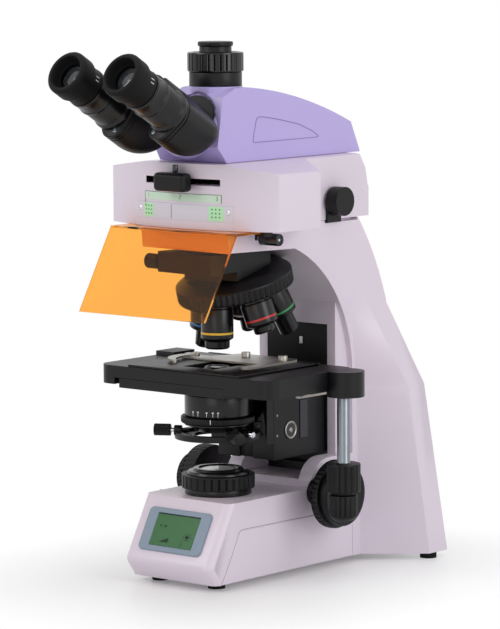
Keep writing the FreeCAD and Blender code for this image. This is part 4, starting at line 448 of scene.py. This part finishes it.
def blocks(name, items, body, slot, material, at=(0, 0, 0), basis=(RIGHT, (0, 1, 0), UP), soft=0.0):
    """Boxes in one piece, each by its centre and three half sizes along the vectors of a basis."""
    turn = np.column_stack(basis)
    corner = np.array([[i, j, k] for i in (-1, 1) for j in (-1, 1) for k in (-1, 1)])
    quads = np.array([[0, 1, 3, 2], [4, 6, 7, 5], [0, 4, 5, 1], [2, 3, 7, 6], [0, 2, 6, 4], [1, 5, 7, 3]])
    local = np.concatenate([np.asarray(centre) + corner * np.asarray(half) for centre, half in items])
    faces = np.concatenate([quads + 8 * number for number in range(len(items))])
    piece = add_mesh(name, local @ turn.T + np.asarray(at, float), faces, body, slot, material)
    if soft:
        edges = piece.modifiers.new("edges", "BEVEL")
        edges.width = soft * MM
        edges.segments = 4
        edges.harden_normals = True
    return piece


def turned(
    name, corners, at, direction, body, slot, material, node="",
    soft=0.5, ribs=(), bands=(), around=96, keen=2,
):
    """A closed profile turned about an axis. Each of ribs is (low, high, count, depth): between those
    heights depth * (0.5 + 0.5 cos(count * angle))^keen comes off the outer radius, so a high keen
    leaves wide ribs between narrow grooves."""
    profile = rounded(corners, soft)
    edges = [h + d for low, high, _, _ in ribs for h in (low, high) for d in (-0.05, 0.05)]
    edges += [h for low, high, _ in bands for h in (low, high)]
    profile = with_heights(profile, edges) if edges else profile
    around = max([around] + [count * (8 if keen < 3 else 14) for _, _, count, _ in ribs])
    angle = np.arange(around) / around * 2 * math.pi
    radius = np.repeat(profile[:, :1], around, 1)
    for low, high, count, depth in ribs:
        zone = (profile[:, 1:] > low) & (profile[:, 1:] < high)
        outer = profile[:, :1] > profile[zone[:, 0], 0].max() - 1.6
        wave = (0.5 + 0.5 * np.cos(count * angle)) ** keen
        radius = radius - np.where(zone & outer, depth * wave[None, :], 0)
    basis = axes_along(direction)
    height = np.repeat(profile[:, 1:], around, 1)
    local = np.stack([radius * np.cos(angle), radius * np.sin(angle), height], -1)
    points = local.reshape(-1, 3) @ basis.T + np.asarray(at, float)
    piece = add_mesh(name, points, grid_faces(len(profile), around), body, slot, material)
    if bands:
        colour_bands(piece, at, basis[:, 2], bands)
    if node:
        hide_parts(*([node] if isinstance(node, str) else node))
    return piece


# %% [markdown]
# ## Castings
# A casting keeps its CAD shape. Its copy is merged, its flat faces become whole again, and a Bevel
# modifier rounds every sharp edge by the same small radius, as casting and paint do on the real one.

# %% Rounded copies
def softened(node, material, width, angle=28, segments=3, reshape=None):
    """A merged copy of a CAD node with whole flat faces and rounded edges, in place of the node. If a
    reshape is given, it moves the copy's points, which it gets in millimetres about the optical axis."""
    source = frame["nodes"][node]
    mesh = source.data.copy()
    if reshape:
        spots = np.zeros(len(mesh.vertices) * 3)
        mesh.vertices.foreach_get("co", spots)
        spots = (reshape(spots.reshape(-1, 3) / MM - AXIS) + AXIS) * MM
        mesh.vertices.foreach_set("co", spots.ravel())
    work = bmesh.new()
    work.from_mesh(mesh)
    bmesh.ops.remove_doubles(work, verts=work.verts, dist=2e-6)
    bmesh.ops.dissolve_limit(work, angle_limit=math.radians(0.5), verts=work.verts, edges=work.edges)
    work.to_mesh(mesh)
    work.free()
    mesh.materials.clear()
    mesh.materials.append(material)
    mesh.shade_smooth()
    mesh.set_sharp_from_angle(angle=math.radians(50))
    piece = bpy.data.objects.new(node + "_cast", mesh)
    scene.collection.objects.link(piece)
    bevel = piece.modifiers.new("edges", "BEVEL")
    bevel.width = width * MM
    bevel.segments = segments
    bevel.limit_method = "ANGLE"
    bevel.angle_limit = math.radians(angle)
    bevel.use_clamp_overlap = True
    bevel.harden_normals = True
    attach(piece, source["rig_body"])
    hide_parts(node)
    return piece


castings = {}
for node, material, width in (
    ("base_tray", lilac, 1.0),
    ("base_casting", lilac, 2.0),
    ("arm_casting", lilac, 2.5),
    ("illuminator_housing", lilac, 2.5),
    ("head_body", violet, 3.0),
    ("stage_body", satin, 1.2),
    ("stage_deck", satin, 0.5),
    ("stage_plate", satin, 0.8),
    ("stage_carrier", satin, 1.0),
    ("nosepiece_mount", satin, 1.2),
    ("lcd_bezel", bezel_grey, 0.8),
    ("power_inlet", moulded, 0.4),
    ("power_switch", gloss, 0.6),
    ("slide_holder", holder_steel, 0.25),
    ("slide_finger", holder_steel, 0.25),
    ("guide_panel", satin, 0.4),
    ("shield", amber, 0.4),
    ("shield_rails", moulded, 0.4),
):
    castings[node] = softened(node, material, width)


def paint_inside(piece, low, high, material):
    """Gives the faces whose centres lie in a box, in millimetres about the optical axis, a finish."""
    mesh = piece.data
    centres = np.zeros(len(mesh.polygons) * 3)
    mesh.polygons.foreach_get("center", centres)
    centres = centres.reshape(-1, 3) / MM - AXIS
    mesh.materials.append(material)
    index = ((centres > low) & (centres < high)).all(1).astype(np.int32) * (len(mesh.materials) - 1)
    mesh.polygons.foreach_set("material_index", index)


paint_inside(castings["illuminator_housing"], (-46, -45.5, 367), (46, 10, 376), satin)


# %% [markdown]
# Two copies change shape. The hoop under the condenser is thinner than its solid, with a boss round each
# centring screw, and the slider's handle is pulled inside a block with rounder corners.

# %% Reshaped copies
HOOP_TOP, BRACKET_FRONT = 136.5, 19.5
HOUSING_FRONT, HANDLE_MIDDLE, HANDLE_SHARE = -53.5, np.array([0, -60, 371.5]), 0.8


def thin_hoop(p):
    """Lowers the hoop's top, apart from the bracket behind it."""
    low = (p[:, 1] < BRACKET_FRONT) & (p[:, 2] > HOOP_TOP)
    return np.column_stack([p[:, :2], np.where(low, HOOP_TOP, p[:, 2])])


def small_handle(p):
    """Draws whatever lies in front of the housing a fifth of the way in, towards the handle's middle."""
    front = (p[:, 1] < HOUSING_FRONT)[:, None]
    return np.where(front, HANDLE_MIDDLE + (p - HANDLE_MIDDLE) * HANDLE_SHARE, p)


softened("condenser_fork", satin, 0.8, reshape=thin_hoop)
softened("filter_slider", moulded, 0.8, reshape=small_handle)
blocks(
    "slider_handle", [((0, -61, 371.5), (18.5, 7, 8.5))],
    "filter_slider", "black_plastic", moulded, soft=4,
)
turned(
    "slider_pin",
    [(0, 379.6), (2.6, 379.6), (2.6, 387), (0, 387)],
    (0, -57, 0), UP, "filter_slider", "black_plastic", gunmetal, soft=0.6, around=32,
)


# %% [markdown]
# ## Base
# The field lens sits in a black mount with an iris ring round it, and the focus knobs turn on one shaft
# through the arm. The wide coarse knobs are ribbed for the palm, and the fine ones lie outside them.

# %% Field optics and focus knobs
SHAFT = (0, 77.5, 75.5)
turned(
    "field_mount_turned",
    [(15, 79), (31, 79), (31, 84.5), (28, 84.5), (28, 97.8), (29, 97.8), (27.6, 100.4), (24, 100.6)]
    + [(22.6, 103), (18.4, 103), (17.5, 102), (17.5, 98), (15, 98)],
    (0, 0, 0), UP, "stand", "black_metal", lens_barrel, "field_mount", soft=0.5,
)
turned(
    "field_iris_ribbed",
    [(28.1, 84.8), (34, 84.8), (34, 97.5), (28.1, 97.5)],
    (0, 0, 0), UP, "field_iris_ring", "black_metal", moulded, "field_iris_ring",
    soft=0.8, ribs=[(86.2, 96.2, 30, 1.6)], keen=5,
)
turned(
    "field_lens_polished",
    [(0, 98.1), (17.4, 98.1), (17.4, 101.6), (13, 102.2), (7, 102.5), (0, 102.6)],
    (0, 0, 0), UP, "stand", "lens_glass", frosted, "field_lens", soft=0.3,
)
turned(
    "coarse_focus_turned",
    [(3.05, -88), (32, -88), (32, -72), (13, -72), (13, -52.4), (5, -52.4), (5, 52.4), (13, 52.4)]
    + [(13, 72.5), (32, 72.5), (32, 81), (3.05, 81)],
    SHAFT, RIGHT, "coarse_focus", "black_plastic", moulded, "coarse_focus",
    soft=1.6, ribs=[(73.2, 80.2, 40, 1.0), (-87.2, -72.8, 40, 1.0)], keen=1,
)
turned(
    "fine_focus_turned",
    [(0, -100.3), (22.5, -100.3), (22.5, -88.3), (3, -88.3), (3, 81.3), (29, 81.3), (29, 89.3), (26, 89.3)]
    + [(25.4, 88.9), (0, 88.9)],
    SHAFT, RIGHT, "fine_focus", "black_plastic", moulded, "fine_focus",
    soft=0.8, ribs=[(-99.5, -88.8, 36, 0.8)],
)
turned(
    "brightness_knob_turned",
    [(0, 52.2), (3, 52.2), (3, 54), (11, 54), (10.4, 64.4), (0, 64.4)],
    (0, -8, 66), LEFT, "brightness_knob", "black_plastic", moulded, "brightness_knob",
    soft=0.7, ribs=[(55, 64, 30, 0.5)],
)


# %% [markdown]
# ## Stage drive and condenser
# Two knobs hang on one tube at the right of the stage. Below the stage's opening sits the condenser,
# with its ribbed aperture ring and two centring screws that lean out at 60 degrees.

# %% Stage drive
DRIVE = (112, 46, 0)
turned(
    "stage_y_knob_turned",
    [(4.05, 85.5), (15.6, 85.5), (15.6, 112), (6, 112), (6, 184.5), (4.05, 184.5)],
    DRIVE, UP, "stage_y_knob", "black_plastic", moulded, "stage_y_knob",
    soft=1.4, ribs=[(87.0, 110.6, 16, 1.2)], keen=4, bands=[(112.5, 184, grey_steel)],
)
turned(
    "stage_x_knob_turned",
    [(0, 59), (9, 59), (13, 63), (13, 82.5), (9, 83), (9, 85.2), (4, 85.2), (4, 183.5), (0, 183.5)],
    DRIVE, UP, "stage_x_knob", "black_plastic", moulded, "stage_x_knob",
    soft=1.4, ribs=[(63.5, 81.5, 16, 1.1)], keen=4, bands=[(86, 183, grey_steel)],
)

# %% Condenser
turned(
    "condenser_turned",
    [(11, 138), (21, 138), (26, 143.2), (31, 143.6), (31, 145.2), (29, 145.4), (29, 152.2), (30.7, 152.6)]
    + [(30.7, 172), (20, 172), (17, 175.3), (15, 175.3), (15, 193.5), (11, 197.5), (9, 197.5), (9, 191.5)]
    + [(11, 189.5)],
    (0, 0, 0), UP, "condenser", "black_metal", lens_barrel, "condenser_body", soft=0.6,
)
turned(
    "condenser_lens_polished",
    [(0, 191.6), (8.95, 191.6), (8.95, 196.6), (5, 197.0), (0, 197.1)],
    (0, 0, 0), UP, "condenser", "lens_glass", glass, "condenser_lens", soft=0.2,
)
turned(
    "aperture_ring_turned",
    [(29.1, 145.5), (33.2, 145.5), (34.3, 146.6), (34.3, 151), (33.4, 151.9), (29.1, 151.9)],
    (0, 0, 0), UP, "aperture_ring", "black_metal", satin, "aperture_ring",
    soft=0.3, ribs=[(146.8, 150.4, 90, 0.7)],
)
turned(
    "condenser_knob_turned",
    [(0, -33), (6, -33), (6, 42), (13, 42), (13, 55), (0, 55)],
    (0, 64.5, 136), LEFT, "condenser_knob", "black_plastic", moulded, "condenser_knob",
    soft=0.8, ribs=[(42.8, 54.2, 26, 0.9)],
)
for side, which in ((1, "right"), (-1, "left")):
    lean = math.radians(60) * side
    turned(
        f"centring_screw_{which}_turned",
        [(0, 26), (1.8, 26), (1.8, 44.5), (5.6, 44.5), (5.6, 60), (0, 60)],
        (0, 0, 137), (math.sin(lean), -math.cos(lean), 0), f"centring_screw_{which}", "black_metal",
        moulded, f"centring_screw_{which}",
        soft=0.7, ribs=[(45.2, 59.3, 18, 0.6)], bands=[(40, 44.2, chrome)],
    )
    turned(
        f"screw_boss_{which}",
        [(2.3, 34), (5, 34), (5, 41), (2.3, 41)],
        (0, 0, 136.5), (math.sin(lean), -math.cos(lean), 0), "condenser", "black_metal", satin,
        soft=0.6, around=48,
    )
turned(
    "condenser_clamp",
    [(0, 36), (2.6, 36), (2.6, 41.6), (3.2, 42), (3.2, 46), (2.4, 46.6), (0, 46.6)],
    (0, -4, 137.6), RIGHT, "condenser", "black_metal", satin, soft=0.4, bands=[(42.2, 46.8, chrome)],
    around=48,
)
# Each stroke is (middle across, middle up, half across, half up), in a digit 2 wide and 4 tall.
DIGIT_BARS = {
    1: ((0, 0, 0.15, 2),),
    2: ((0, 2, 1, 0.2), (0, 0, 1, 0.2), (0, -2, 1, 0.2), (1, 1, 0.2, 1), (-1, -1, 0.2, 1)),
    3: ((0, 2, 1, 0.2), (0, 0, 1, 0.2), (0, -2, 1, 0.2), (1, 0, 0.2, 2)),
}


def facing(degrees):
    """Across, outward and up at an angle round the optical axis, where 0 faces the user."""
    turn = math.radians(degrees)
    return (math.cos(turn), math.sin(turn), 0), (math.sin(turn), -math.cos(turn), 0), UP


for angle in (-7, 4, 21, 32, 41):
    blocks(
        f"aperture_tick_{angle + 7}",
        [((0, 30.7, 155.2), (0.25, 0.12, 1.4)), ((0, 30.7, 157.6), (0.9, 0.12, 0.6))],
        "condenser", "black_metal", white_ink, (0, 0, 0), facing(angle),
    )
blocks(
    "aperture_index", [((0, 34.0, 149.6), (0.35, 0.4, 2.0))], "aperture_ring", "black_metal", white_ink,
    (0, 0, 0), facing(29),
)


# %% [markdown]
# ## Nosepiece and objectives
# The turret's axis leans 15 degrees forward, and so does each objective to it, so that the working one
# stands upright. Every place is the first one turned by 72 degrees about the leaning axis, through the
# point where all the axes meet.

# %% Turret
TILT, APEX = math.radians(15), np.array([0, 0, 370.7])
TO_SEAT, PLACES = 107.7, 5  # from the apex to where an objective seats, and how many there are


def about(axis, angle):
    """The matrix that turns a vector about x or z by an angle."""
    c, s = math.cos(angle), math.sin(angle)
    rows = [[1, 0, 0], [0, c, -s], [0, s, c]] if axis == "x" else [[c, -s, 0], [s, c, 0], [0, 0, 1]]
    return np.array(rows)


BAND = -(TO_SEAT - 24 * math.sin(TILT)) / math.cos(TILT) + 0.7
SEAT = -(TO_SEAT - 49 * math.sin(TILT)) / math.cos(TILT)
LOW = -TO_SEAT / math.cos(TILT) + 0.1
turned(
    "turret_turned",
    [(0, LOW), (49, SEAT), (49, BAND - 3), (54, BAND - 3), (54, BAND + 9.5), (45, BAND + 16)]
    + [(27, BAND + 17), (11, BAND + 17), (11, BAND + 30), (0, BAND + 30)],
    APEX, about("x", TILT) @ [0, 0, 1], "nosepiece", "black_metal", satin, "nosepiece_turret",
    soft=1.2, ribs=[(BAND - 1.8, BAND + 8.4, 60, 1.8)], keen=1,
)
turned(
    "nosepiece_lock_turned",
    [(0, -12), (2.5, -12), (2.5, 5), (6.8, 5), (6.8, 19), (0, 19)],
    (-31, -36, 295), LEFT, "nosepiece_lock", "black_metal", moulded, "nosepiece_lock",
    soft=0.6, ribs=[(5.6, 18.4, 16, 0.7)],
)


# %% Objectives
OBJECTIVES = (
    ("10x", 0, 49.4, 11.5, 39.5, yellow_band),
    ("4x", 1, 41.0, 10.0, 32.0, red_band),
    ("20x", 2, 58.0, 9.5, 38.0, green_band),
    ("100x", 3, 60.0, 7.0, 41.0, white_band),
    ("40x", 4, 59.6, 8.5, 40.0, blue_band),
)
for power, place, long, tip, shoulder, band in OBJECTIVES:
    spin = about("x", TILT) @ about("z", math.radians(360 / PLACES * place)) @ about("x", -TILT)
    turned(
        f"objective_{power}_turned",
        [(5, 5), (12.5, 5), (12.5, 0), (15, 0), (15, -9), (14.2, -9.4), (14.2, -11.6), (15, -12)]
        + [(15, -shoulder), (tip, -shoulder - 2.5), (tip, 1.5 - long), (tip - 1.5, -long), (5, -long)],
        APEX + spin @ [0, 0, -TO_SEAT], spin @ [0, 0, 1], "nosepiece", "objective_metal", lens_barrel,
        f"objective_{power}", soft=0.5,
        ribs=[(-8.6, -0.8, 48, 0.6)],
        bands=[
            (-shoulder + 4.0, -shoulder + 5.9, band),
            (-long - 0.1, 0.7 - long, chrome),
        ],
    )


# %% [markdown]
# ## Head and eyepieces
# The camera tube stands on the head's roof. The two eyepiece tubes lean back 30 degrees from level, and
# their arms turn on one hub, so both sides come from one loop.

# %% Camera tube
TUBE = (0, 0, 456.0)
turned(
    "photo_tube_turned",
    [(11.5, 0), (24.2, 0), (24.2, 12.9), (21.2, 12.9), (21.2, 31.2), (14.8, 31.2), (14.8, 36.2)]
    + [(11.5, 36.2)],
    TUBE, UP, "head", "black_metal", satin, "photo_tube", soft=0.8,
)
turned(
    "photo_ring_turned",
    [(21.3, 13.2), (25.8, 13.2), (25.8, 31), (21.3, 31)],
    TUBE, UP, "photo_ring", "black_metal", gloss, "photo_ring",
    soft=1.2, ribs=[(14.6, 29.6, 28, 1.3)], keen=9,
)
turned(
    "dust_cap_turned",
    [(0, 32.3), (11.4, 32.3), (11.4, 36.3), (16.2, 36.3), (16.2, 40.5), (0, 40.5)],
    TUBE, UP, "dust_cap", "black_plastic", moulded, "dust_cap", soft=1.0,
)

# %% Hinge hub and eyepieces
HINGE, GAZE = np.array([0, -36.5, 423.5]), np.array([0, -math.cos(math.radians(30)), 0.5])
DOWN = np.array([0, 0.5, math.cos(math.radians(30))]) * -20.4
turned(
    "hinge_hub_turned",
    [(6, -18), (17.5, -18), (17.5, 0), (27.5, 0), (27.5, 2.4), (9, 2.4), (9, 64.2), (6, 64.2)],
    HINGE, GAZE, "head", "black_metal", satin, "hinge_hub", soft=0.6,
)
turned(
    "hinge_seat",
    [(20, -9), (32.5, -9), (32.5, -1.2), (31, 0), (20, 0)],
    HINGE, GAZE, "head", "head_paint", violet, soft=0.8,
)
LIFT = np.array([0, 0.5, math.cos(math.radians(30))])  # square to the gaze, towards the roof
KNUCKLE, ARM_LOW, ARM_FACE, KNUCKLE_SPLIT = 17.4, 2.8, 63.8, 32.6
ARM_STEPS = [(ARM_LOW, 3.5), (3.3, 1.9), (4.6, 0.6), (6.5, 0)] + [(s, 0) for s in range(9, 57, 3)]
ARM_STEPS += [(55.4, 0), (55.6, 0.7), (56.6, 0.7), (56.8, 0)]
ARM_STEPS += [(59.4, 0), (59.6, 0.7), (60.6, 0.7), (60.8, 0)]
ARM_STEPS += [(62.9, 0), (63.5, 0.3), (ARM_FACE, 0.9)]


def clear_of_hinge(flat):
    """Points of a section that lie nearer to the hinge than the knuckle move out to its radius."""
    return flat * np.maximum(1, KNUCKLE / np.hypot(flat[:, :1], flat[:, 1:]))


def arm_surface(side):
    """Sections from the heel to the face. Towards the heel their lower and outer sides draw in by
    sqrt(1 - t^2), a quarter of an ellipse, where t grows from 0 to 1. None comes nearer to the hinge
    than its knuckle, and each is then moved in by the second number of its step."""
    arc = np.radians(np.linspace(51.5, -67.2, 14))
    knuckle = KNUCKLE * np.column_stack([np.cos(arc), np.sin(arc)])
    corners = [(19.7, -46.7), (34.7, -48), (50, -25), (48, -11), (43, -5), (14, 14)]
    section = rounded(np.concatenate([knuckle, corners]), 9, 6)
    rows = []
    for s, inset in ARM_STEPS:
        x, w = section.T.copy()
        heel, flank = max(0, (45 - s) / 43), max(0, (18 - s) / 16)
        w = np.where(w < -8, -8 + (w + 8) * (0.3 + 0.7 * math.sqrt(1 - heel**2)), w)
        x = np.where(x > 30, 30 + (x - 30) * (0.25 + 0.75 * math.sqrt(1 - flank**2)), x)
        flat = clear_of_hinge(np.column_stack([x, w]))
        inward = flat.mean(0) - flat
        flat = clear_of_hinge(flat + inward / np.linalg.norm(inward, axis=1, keepdims=True) * inset)
        rows.append(np.column_stack([flat, np.full(len(flat), s)]))
    ends = [np.broadcast_to(row.mean(0), row.shape) for row in (rows[0], rows[-1])]
    local = np.concatenate([ends[0], *rows, ends[1]])
    points = HINGE + local @ np.array([[side, 0, 0], LIFT, GAZE])
    return points, grid_faces(len(rows) + 2, len(section), closed_rows=False)


for side, which in ((1, "right"), (-1, "left")):
    at = HINGE + DOWN + [side * 32.7, 0, 0]
    arm = add_mesh(f"{which}_arm_cast", *arm_surface(side), f"{which}_arm", "black_metal", satin, smooth=40)
    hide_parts(f"{which}_arm")
    low, high = (KNUCKLE_SPLIT + 0.2, ARM_FACE) if side > 0 else (ARM_LOW, KNUCKLE_SPLIT - 0.2)
    turned(
        f"{which}_knuckle",
        [(9.2, low), (17, low), (17, high), (9.2, high)],
        HINGE, GAZE, f"{which}_arm", "black_metal", satin, soft=0.8,
    )
    turned(
        f"{which}_face_screw",
        [(0, 63), (2.4, 63), (2.4, 64.3), (1.3, 64.6), (1.2, 64.0), (0, 64.0)],
        HINGE + LIFT * -40.5 + [side * 23, 0, 0], GAZE, f"{which}_arm", "black_metal", grey_steel,
        soft=0.2, around=32,
    )
    turned(
        f"{which}_tube_turned",
        [(15.1, 63.8), (20.4, 63.8), (20.4, 67.6), (18.8, 69.2), (18.8, 89.6), (15.1, 89.6)],
        at, GAZE, f"{which}_arm", "black_metal", lens_barrel, f"{which}_tube", soft=0.6,
    )
    turned(
        f"{which}_eyepiece_turned",
        [(0, 50), (15, 50), (15, 89.9), (19.5, 89.9), (19.5, 92.6), (18.7, 93.2), (18.7, 103.6)]
        + [(19.1, 104.2), (19.1, 107.4), (15.5, 107.4), (15.5, 126), (0, 126)],
        at, GAZE, f"{which}_eyepiece", "black_metal", lens_barrel, f"{which}_eyepiece", soft=0.5,
    )
    for theta in np.radians([10, 22]):  # the two marks of the distance adjustment
        out = np.array([math.cos(theta), 0, 0]) + LIFT * math.sin(theta)
        blocks(
            f"{which}_mark_{round(math.degrees(theta))}", [((18.55, 0, 114.5), (0.25, 0.35, 2.2))],
            f"{which}_eyecup", "eyecup_rubber", white_ink, at, (out, np.cross(GAZE, out), GAZE),
        )
    turned(
        f"{which}_eyecup_turned",
        [(15.6, 107.7), (18.7, 107.7), (18.7, 120), (21, 121), (21, 135.3), (18.5, 137.8), (16, 137.8)]
        + [(14, 130), (12, 127), (15.6, 126.3)],
        at, GAZE, f"{which}_eyecup", "eyecup_rubber", rubber, f"{which}_eyecup", soft=1.0,
    )
    turned(
        f"{which}_eye_lens",
        [(0, 125.4), (11, 125.4), (11, 126.2), (6, 127.2), (0, 127.6)],
        at, GAZE, f"{which}_eyepiece", "lens_glass", glass, soft=0.2,
    )


# %% [markdown]
# ## Labels and marks
# The housing's front is a slice of a cylinder, so its labels are thin strips bent to the same curve. The
# digits are generic, drawn with straight strokes. The display shows a level, a lamp and one digit.

# %% Front labels
FRONT_RADIUS, FRONT_CENTRE = 262.0, 211.6


def front_y(x):
    """The housing's front is a circle about the point (0, centre): y = centre - sqrt(radius^2 - x^2)."""
    return FRONT_CENTRE - np.sqrt(FRONT_RADIUS**2 - np.asarray(x, float) ** 2)


def front_strips(name, strips, material, body="stand", slot="label"):
    """Strips (x0, x1, z0, z1, lift) on the curved front, each raised by its lift and 0.6 thick."""
    points, faces, count = [], [], 0
    for x0, x1, z0, z1, lift in strips:
        x = np.linspace(x0, x1, max(2, int((x1 - x0) / 2)))
        rings = [np.column_stack([x, front_y(x) - out, np.full(len(x), z)])
                 for z, out in ((z0, lift), (z1, lift), (z1, -0.6), (z0, -0.6))]
        points.append(np.stack(rings, 1).reshape(-1, 3))
        sides = grid_faces(len(x), 4, closed_rows=False) + count
        last = count + 4 * (len(x) - 1)
        ends = np.array([[count, count + 1, count + 2, count + 3], [last, last + 1, last + 2, last + 3]])
        faces += [sides, ends]
        count += 4 * len(x)
    return add_mesh(name, np.concatenate(points), np.concatenate(faces), body, slot, material)


def digit_strips(digit, x, z, size, lift):
    """The strokes of a digit as strips about a point, with 4 units of height scaled to the size."""
    unit = size / 4
    return [(x + (u - a) * unit, x + (u + a) * unit, z + (v - b) * unit, z + (v + b) * unit, lift)
            for u, v, a, b in DIGIT_BARS[digit]]


scale_strip = front_strips("scale_strip", [(-45.7, 45.7, 353.4, 360.6, 0.15)], label)
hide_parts("front_labels")
front_strips("label_plate", [(-58, 58, 336, 351, 0.12)], clear_label)
front_strips("green_squares", [(-47.5, -34, 337.5, 350.2, 0.2), (32, 48, 337, 350.2, 0.2)], green_label)
marks = [(-46, 46, 360.4, 360.7, 0.25), (-46, -45.6, 347, 360.7, 0.25), (45.6, 46, 353, 360.7, 0.25)]
marks += [(-11.2, -10.8, 337.5, 350, 0.25)]
for digit, x, size in ((1, -41, 3.4), (2, 0, 3.8), (3, 41, 3.4)):
    marks += digit_strips(digit, x, 357.4, size, 0.25)
front_strips("label_ink", marks, dark_ink)
DOT_X, DOT_Z = (-44.5, -40.8, -37, 36, 40, 44), (340.5, 344, 347.5)
dots = [(x - 0.7, x + 0.7, z - 0.7, z + 0.7, 0.3) for x in DOT_X for z in DOT_Z]
front_strips("green_square_ink", dots, green_band)
for x in (-53, 53):
    turned(
        f"label_screw_{x + 60}",
        [(0, -1), (2.1, -1), (2.1, 0.5), (1.2, 0.8), (1.0, 0.3), (0, 0.3)],
        (x, float(front_y(x)), 344.5), (0, -1, 0), "stand", "bright_steel", chrome, soft=0.15, around=32,
    )

# %% Display
WINDOW, SLOPE = (0, -61.6, 51.35), ((1, 0, 0), (0, 0.484, 0.875), (0, -0.875, 0.484))
bars = [((-13 + 1.6 * i, -11.5 + 0.35 * i, 0), (0.6, 0.5 + 0.35 * i, 0.05)) for i in range(6)]
lamp = [((16.5, -4.5, 0), (2, 1.4, 0.05)), ((16.5, -7.2, 0), (3.2, 0.25, 0.05))]
for ray in np.radians([0, 45, 90, 135, 180]):
    lamp.append(((16.5 + 4.0 * math.cos(ray), -4.5 + 3.2 * math.sin(ray), 0), (0.5, 0.5, 0.05)))
row = [((x, 3.6, 0), (a, b, 0.05)) for x, a, b in ((-18, 0.8, 0.8), (-14, 0.25, 1.1), (-12, 0.8, 1.1))]
digits = [((12 + u * 0.8, -12 + v * 0.8, 0), (a * 0.9, b * 0.8, 0.05)) for u, v, a, b in DIGIT_BARS[2]]
# A dark strip along the top edge of the window is a painted shadow, not part of the display.
shade = [((0, 15.2, 0), (25.2, 0.5, 0.04))]
blocks("display_marks", bars + lamp + row + digits, "stand", "display", segments_and_shadow, WINDOW, SLOPE)
blocks("display_shade", shade, "stand", "display", segments_and_shadow, WINDOW, SLOPE)

# %% Small fittings
turned(
    "carrier_cap",
    [(0, -1), (8.6, -1), (8.6, 0.8), (7.4, 1.2), (6.6, 0.7), (2.2, 0.7), (1.8, 1.1), (0, 1.1)],
    (34, 64.4, 133.3), RIGHT, "carrier", "bright_steel", gunmetal,
    soft=0.25, bands=[(0.72, 1.3, holder_steel)],
)
blocks(
    "carrier_strip", [((34.2, 83.5, 142), (0.7, 5.5, 18))], "carrier", "bright_steel", gunmetal, soft=0.4,
)
for height in (129.7, 148.8):
    turned(
        f"carrier_screw_{round(height)}",
        [(0, -1), (1.2, -1), (1.2, 0.4), (0.6, 0.6), (0, 0.2)],
        (34, 44.8, height), RIGHT, "carrier", "bright_steel", holder_steel, soft=0.15, around=24,
    )
blocks(
    "stage_rails",
    [((79, 11, 177.6), (2, 16, 1.3)), ((79, 40, 172.6), (2.4, 20, 1.2)), ((79, 30, 175), (3.4, 5, 1.6))],
    "stage", "bright_steel", holder_steel, soft=0.4,
)
blocks(
    "panel_plate", [((5.2, 115.8, 210.7), (1.8, 0.5, 3.4))], "stand", "bright_steel", chrome, soft=0.2,
)
blocks(
    "rod_hook", [((58, -10, 323.5), (1.2, 3.2, 1)), ((58, -12.4, 321), (1.2, 1, 3))],
    "stand", "black_metal", satin, soft=0.5,
)
ROD = (47, 3, 318)
turned(
    "shutter_rod_turned",
    [(0, -13), (3.4, -13), (3.4, 0), (5.6, 0), (5.6, 26), (4.2, 26), (3.9, 25), (0, 25)],
    ROD, RIGHT, "shutter_rod", "bright_steel", gunmetal, "shutter_rod", soft=0.5, around=48,
)
turned(
    "shutter_rod_mark",
    [(0, 24.6), (1.2, 24.6), (1.2, 25.4), (0, 25.4)],
    ROD, RIGHT, "shutter_rod", "bright_steel", white_ink, soft=0.1, around=24,
)


# %% [markdown]
# ## Outlines
# The head has a shallow groove round each flank, drawn as a narrow band of painted shade, and a fine
# seam runs round the panel in the base's side, drawn as a narrow dark band. Both follow a line of points
# on their surface.

# %% Grooves and seams
PROUD, SUNK, LEAN = 0.08, 0.25, 0.1345  # a band's top and bottom, and the flank's lean for each mm up


def band_along(name, path, out, width, body, slot, material, closed=True):
    """A thin band of a given width through points, square to the direction out: each ring is the point,
    half a width to either side, a little proud of the surface and a little sunk in it."""
    path, out = np.asarray(path, float), np.asarray(out, float) / np.linalg.norm(out)
    ahead = np.roll(path, -1, 0) - path
    behind = path - np.roll(path, 1, 0)
    if not closed:
        ahead[-1], behind[0] = behind[-1], ahead[0]
    along = ahead / np.linalg.norm(ahead, axis=1, keepdims=True)
    along = along + behind / np.linalg.norm(behind, axis=1, keepdims=True)
    aside = np.cross(out, along / np.linalg.norm(along, axis=1, keepdims=True)) * width / 2
    top, bottom = path + out * PROUD, path - out * SUNK
    points = np.stack([top + aside, top - aside, bottom - aside, bottom + aside], 1).reshape(-1, 3)
    return add_mesh(name, points, grid_faces(len(path), 4, closed_rows=closed), body, slot, material)


FLANK = [(6.6, 404.9), (16.4, 427.5), (25.1, 427.7), (49.2, 423.8), (75.9, 418.4), (93.8, 411.4)]
FLANK += [(104, 405.2)]
# Each flank's groove is a thin band of painted shade.
for side in (1, -1):
    outline = rounded(FLANK, 4, 6)
    lean = np.column_stack([side * (40.2 - LEAN * (outline[:, 1] - 390.4)), outline])
    band_along(f"head_groove_shade_{side + 2}", lean, (side, 0, LEAN), 0.7, "head", "head_paint", violet_groove_shade)
SEAM = [(-57.5, 5.8), (-47.7, 21.6), (-37, 40.9), (-32.5, 50.6), (-29, 53.4), (-23.5, 53.7)]
SEAM += [(25, 53.4), (75.7, 53.1)]
for side in (1, -1):
    seam = np.array([(side * 52, y, z) for y, z in SEAM])
    band_along(
        f"base_seam_{side + 2}", seam, (side, 0, 0), 0.45, "stand", "stand_paint", lilac_seam, closed=False,
    )
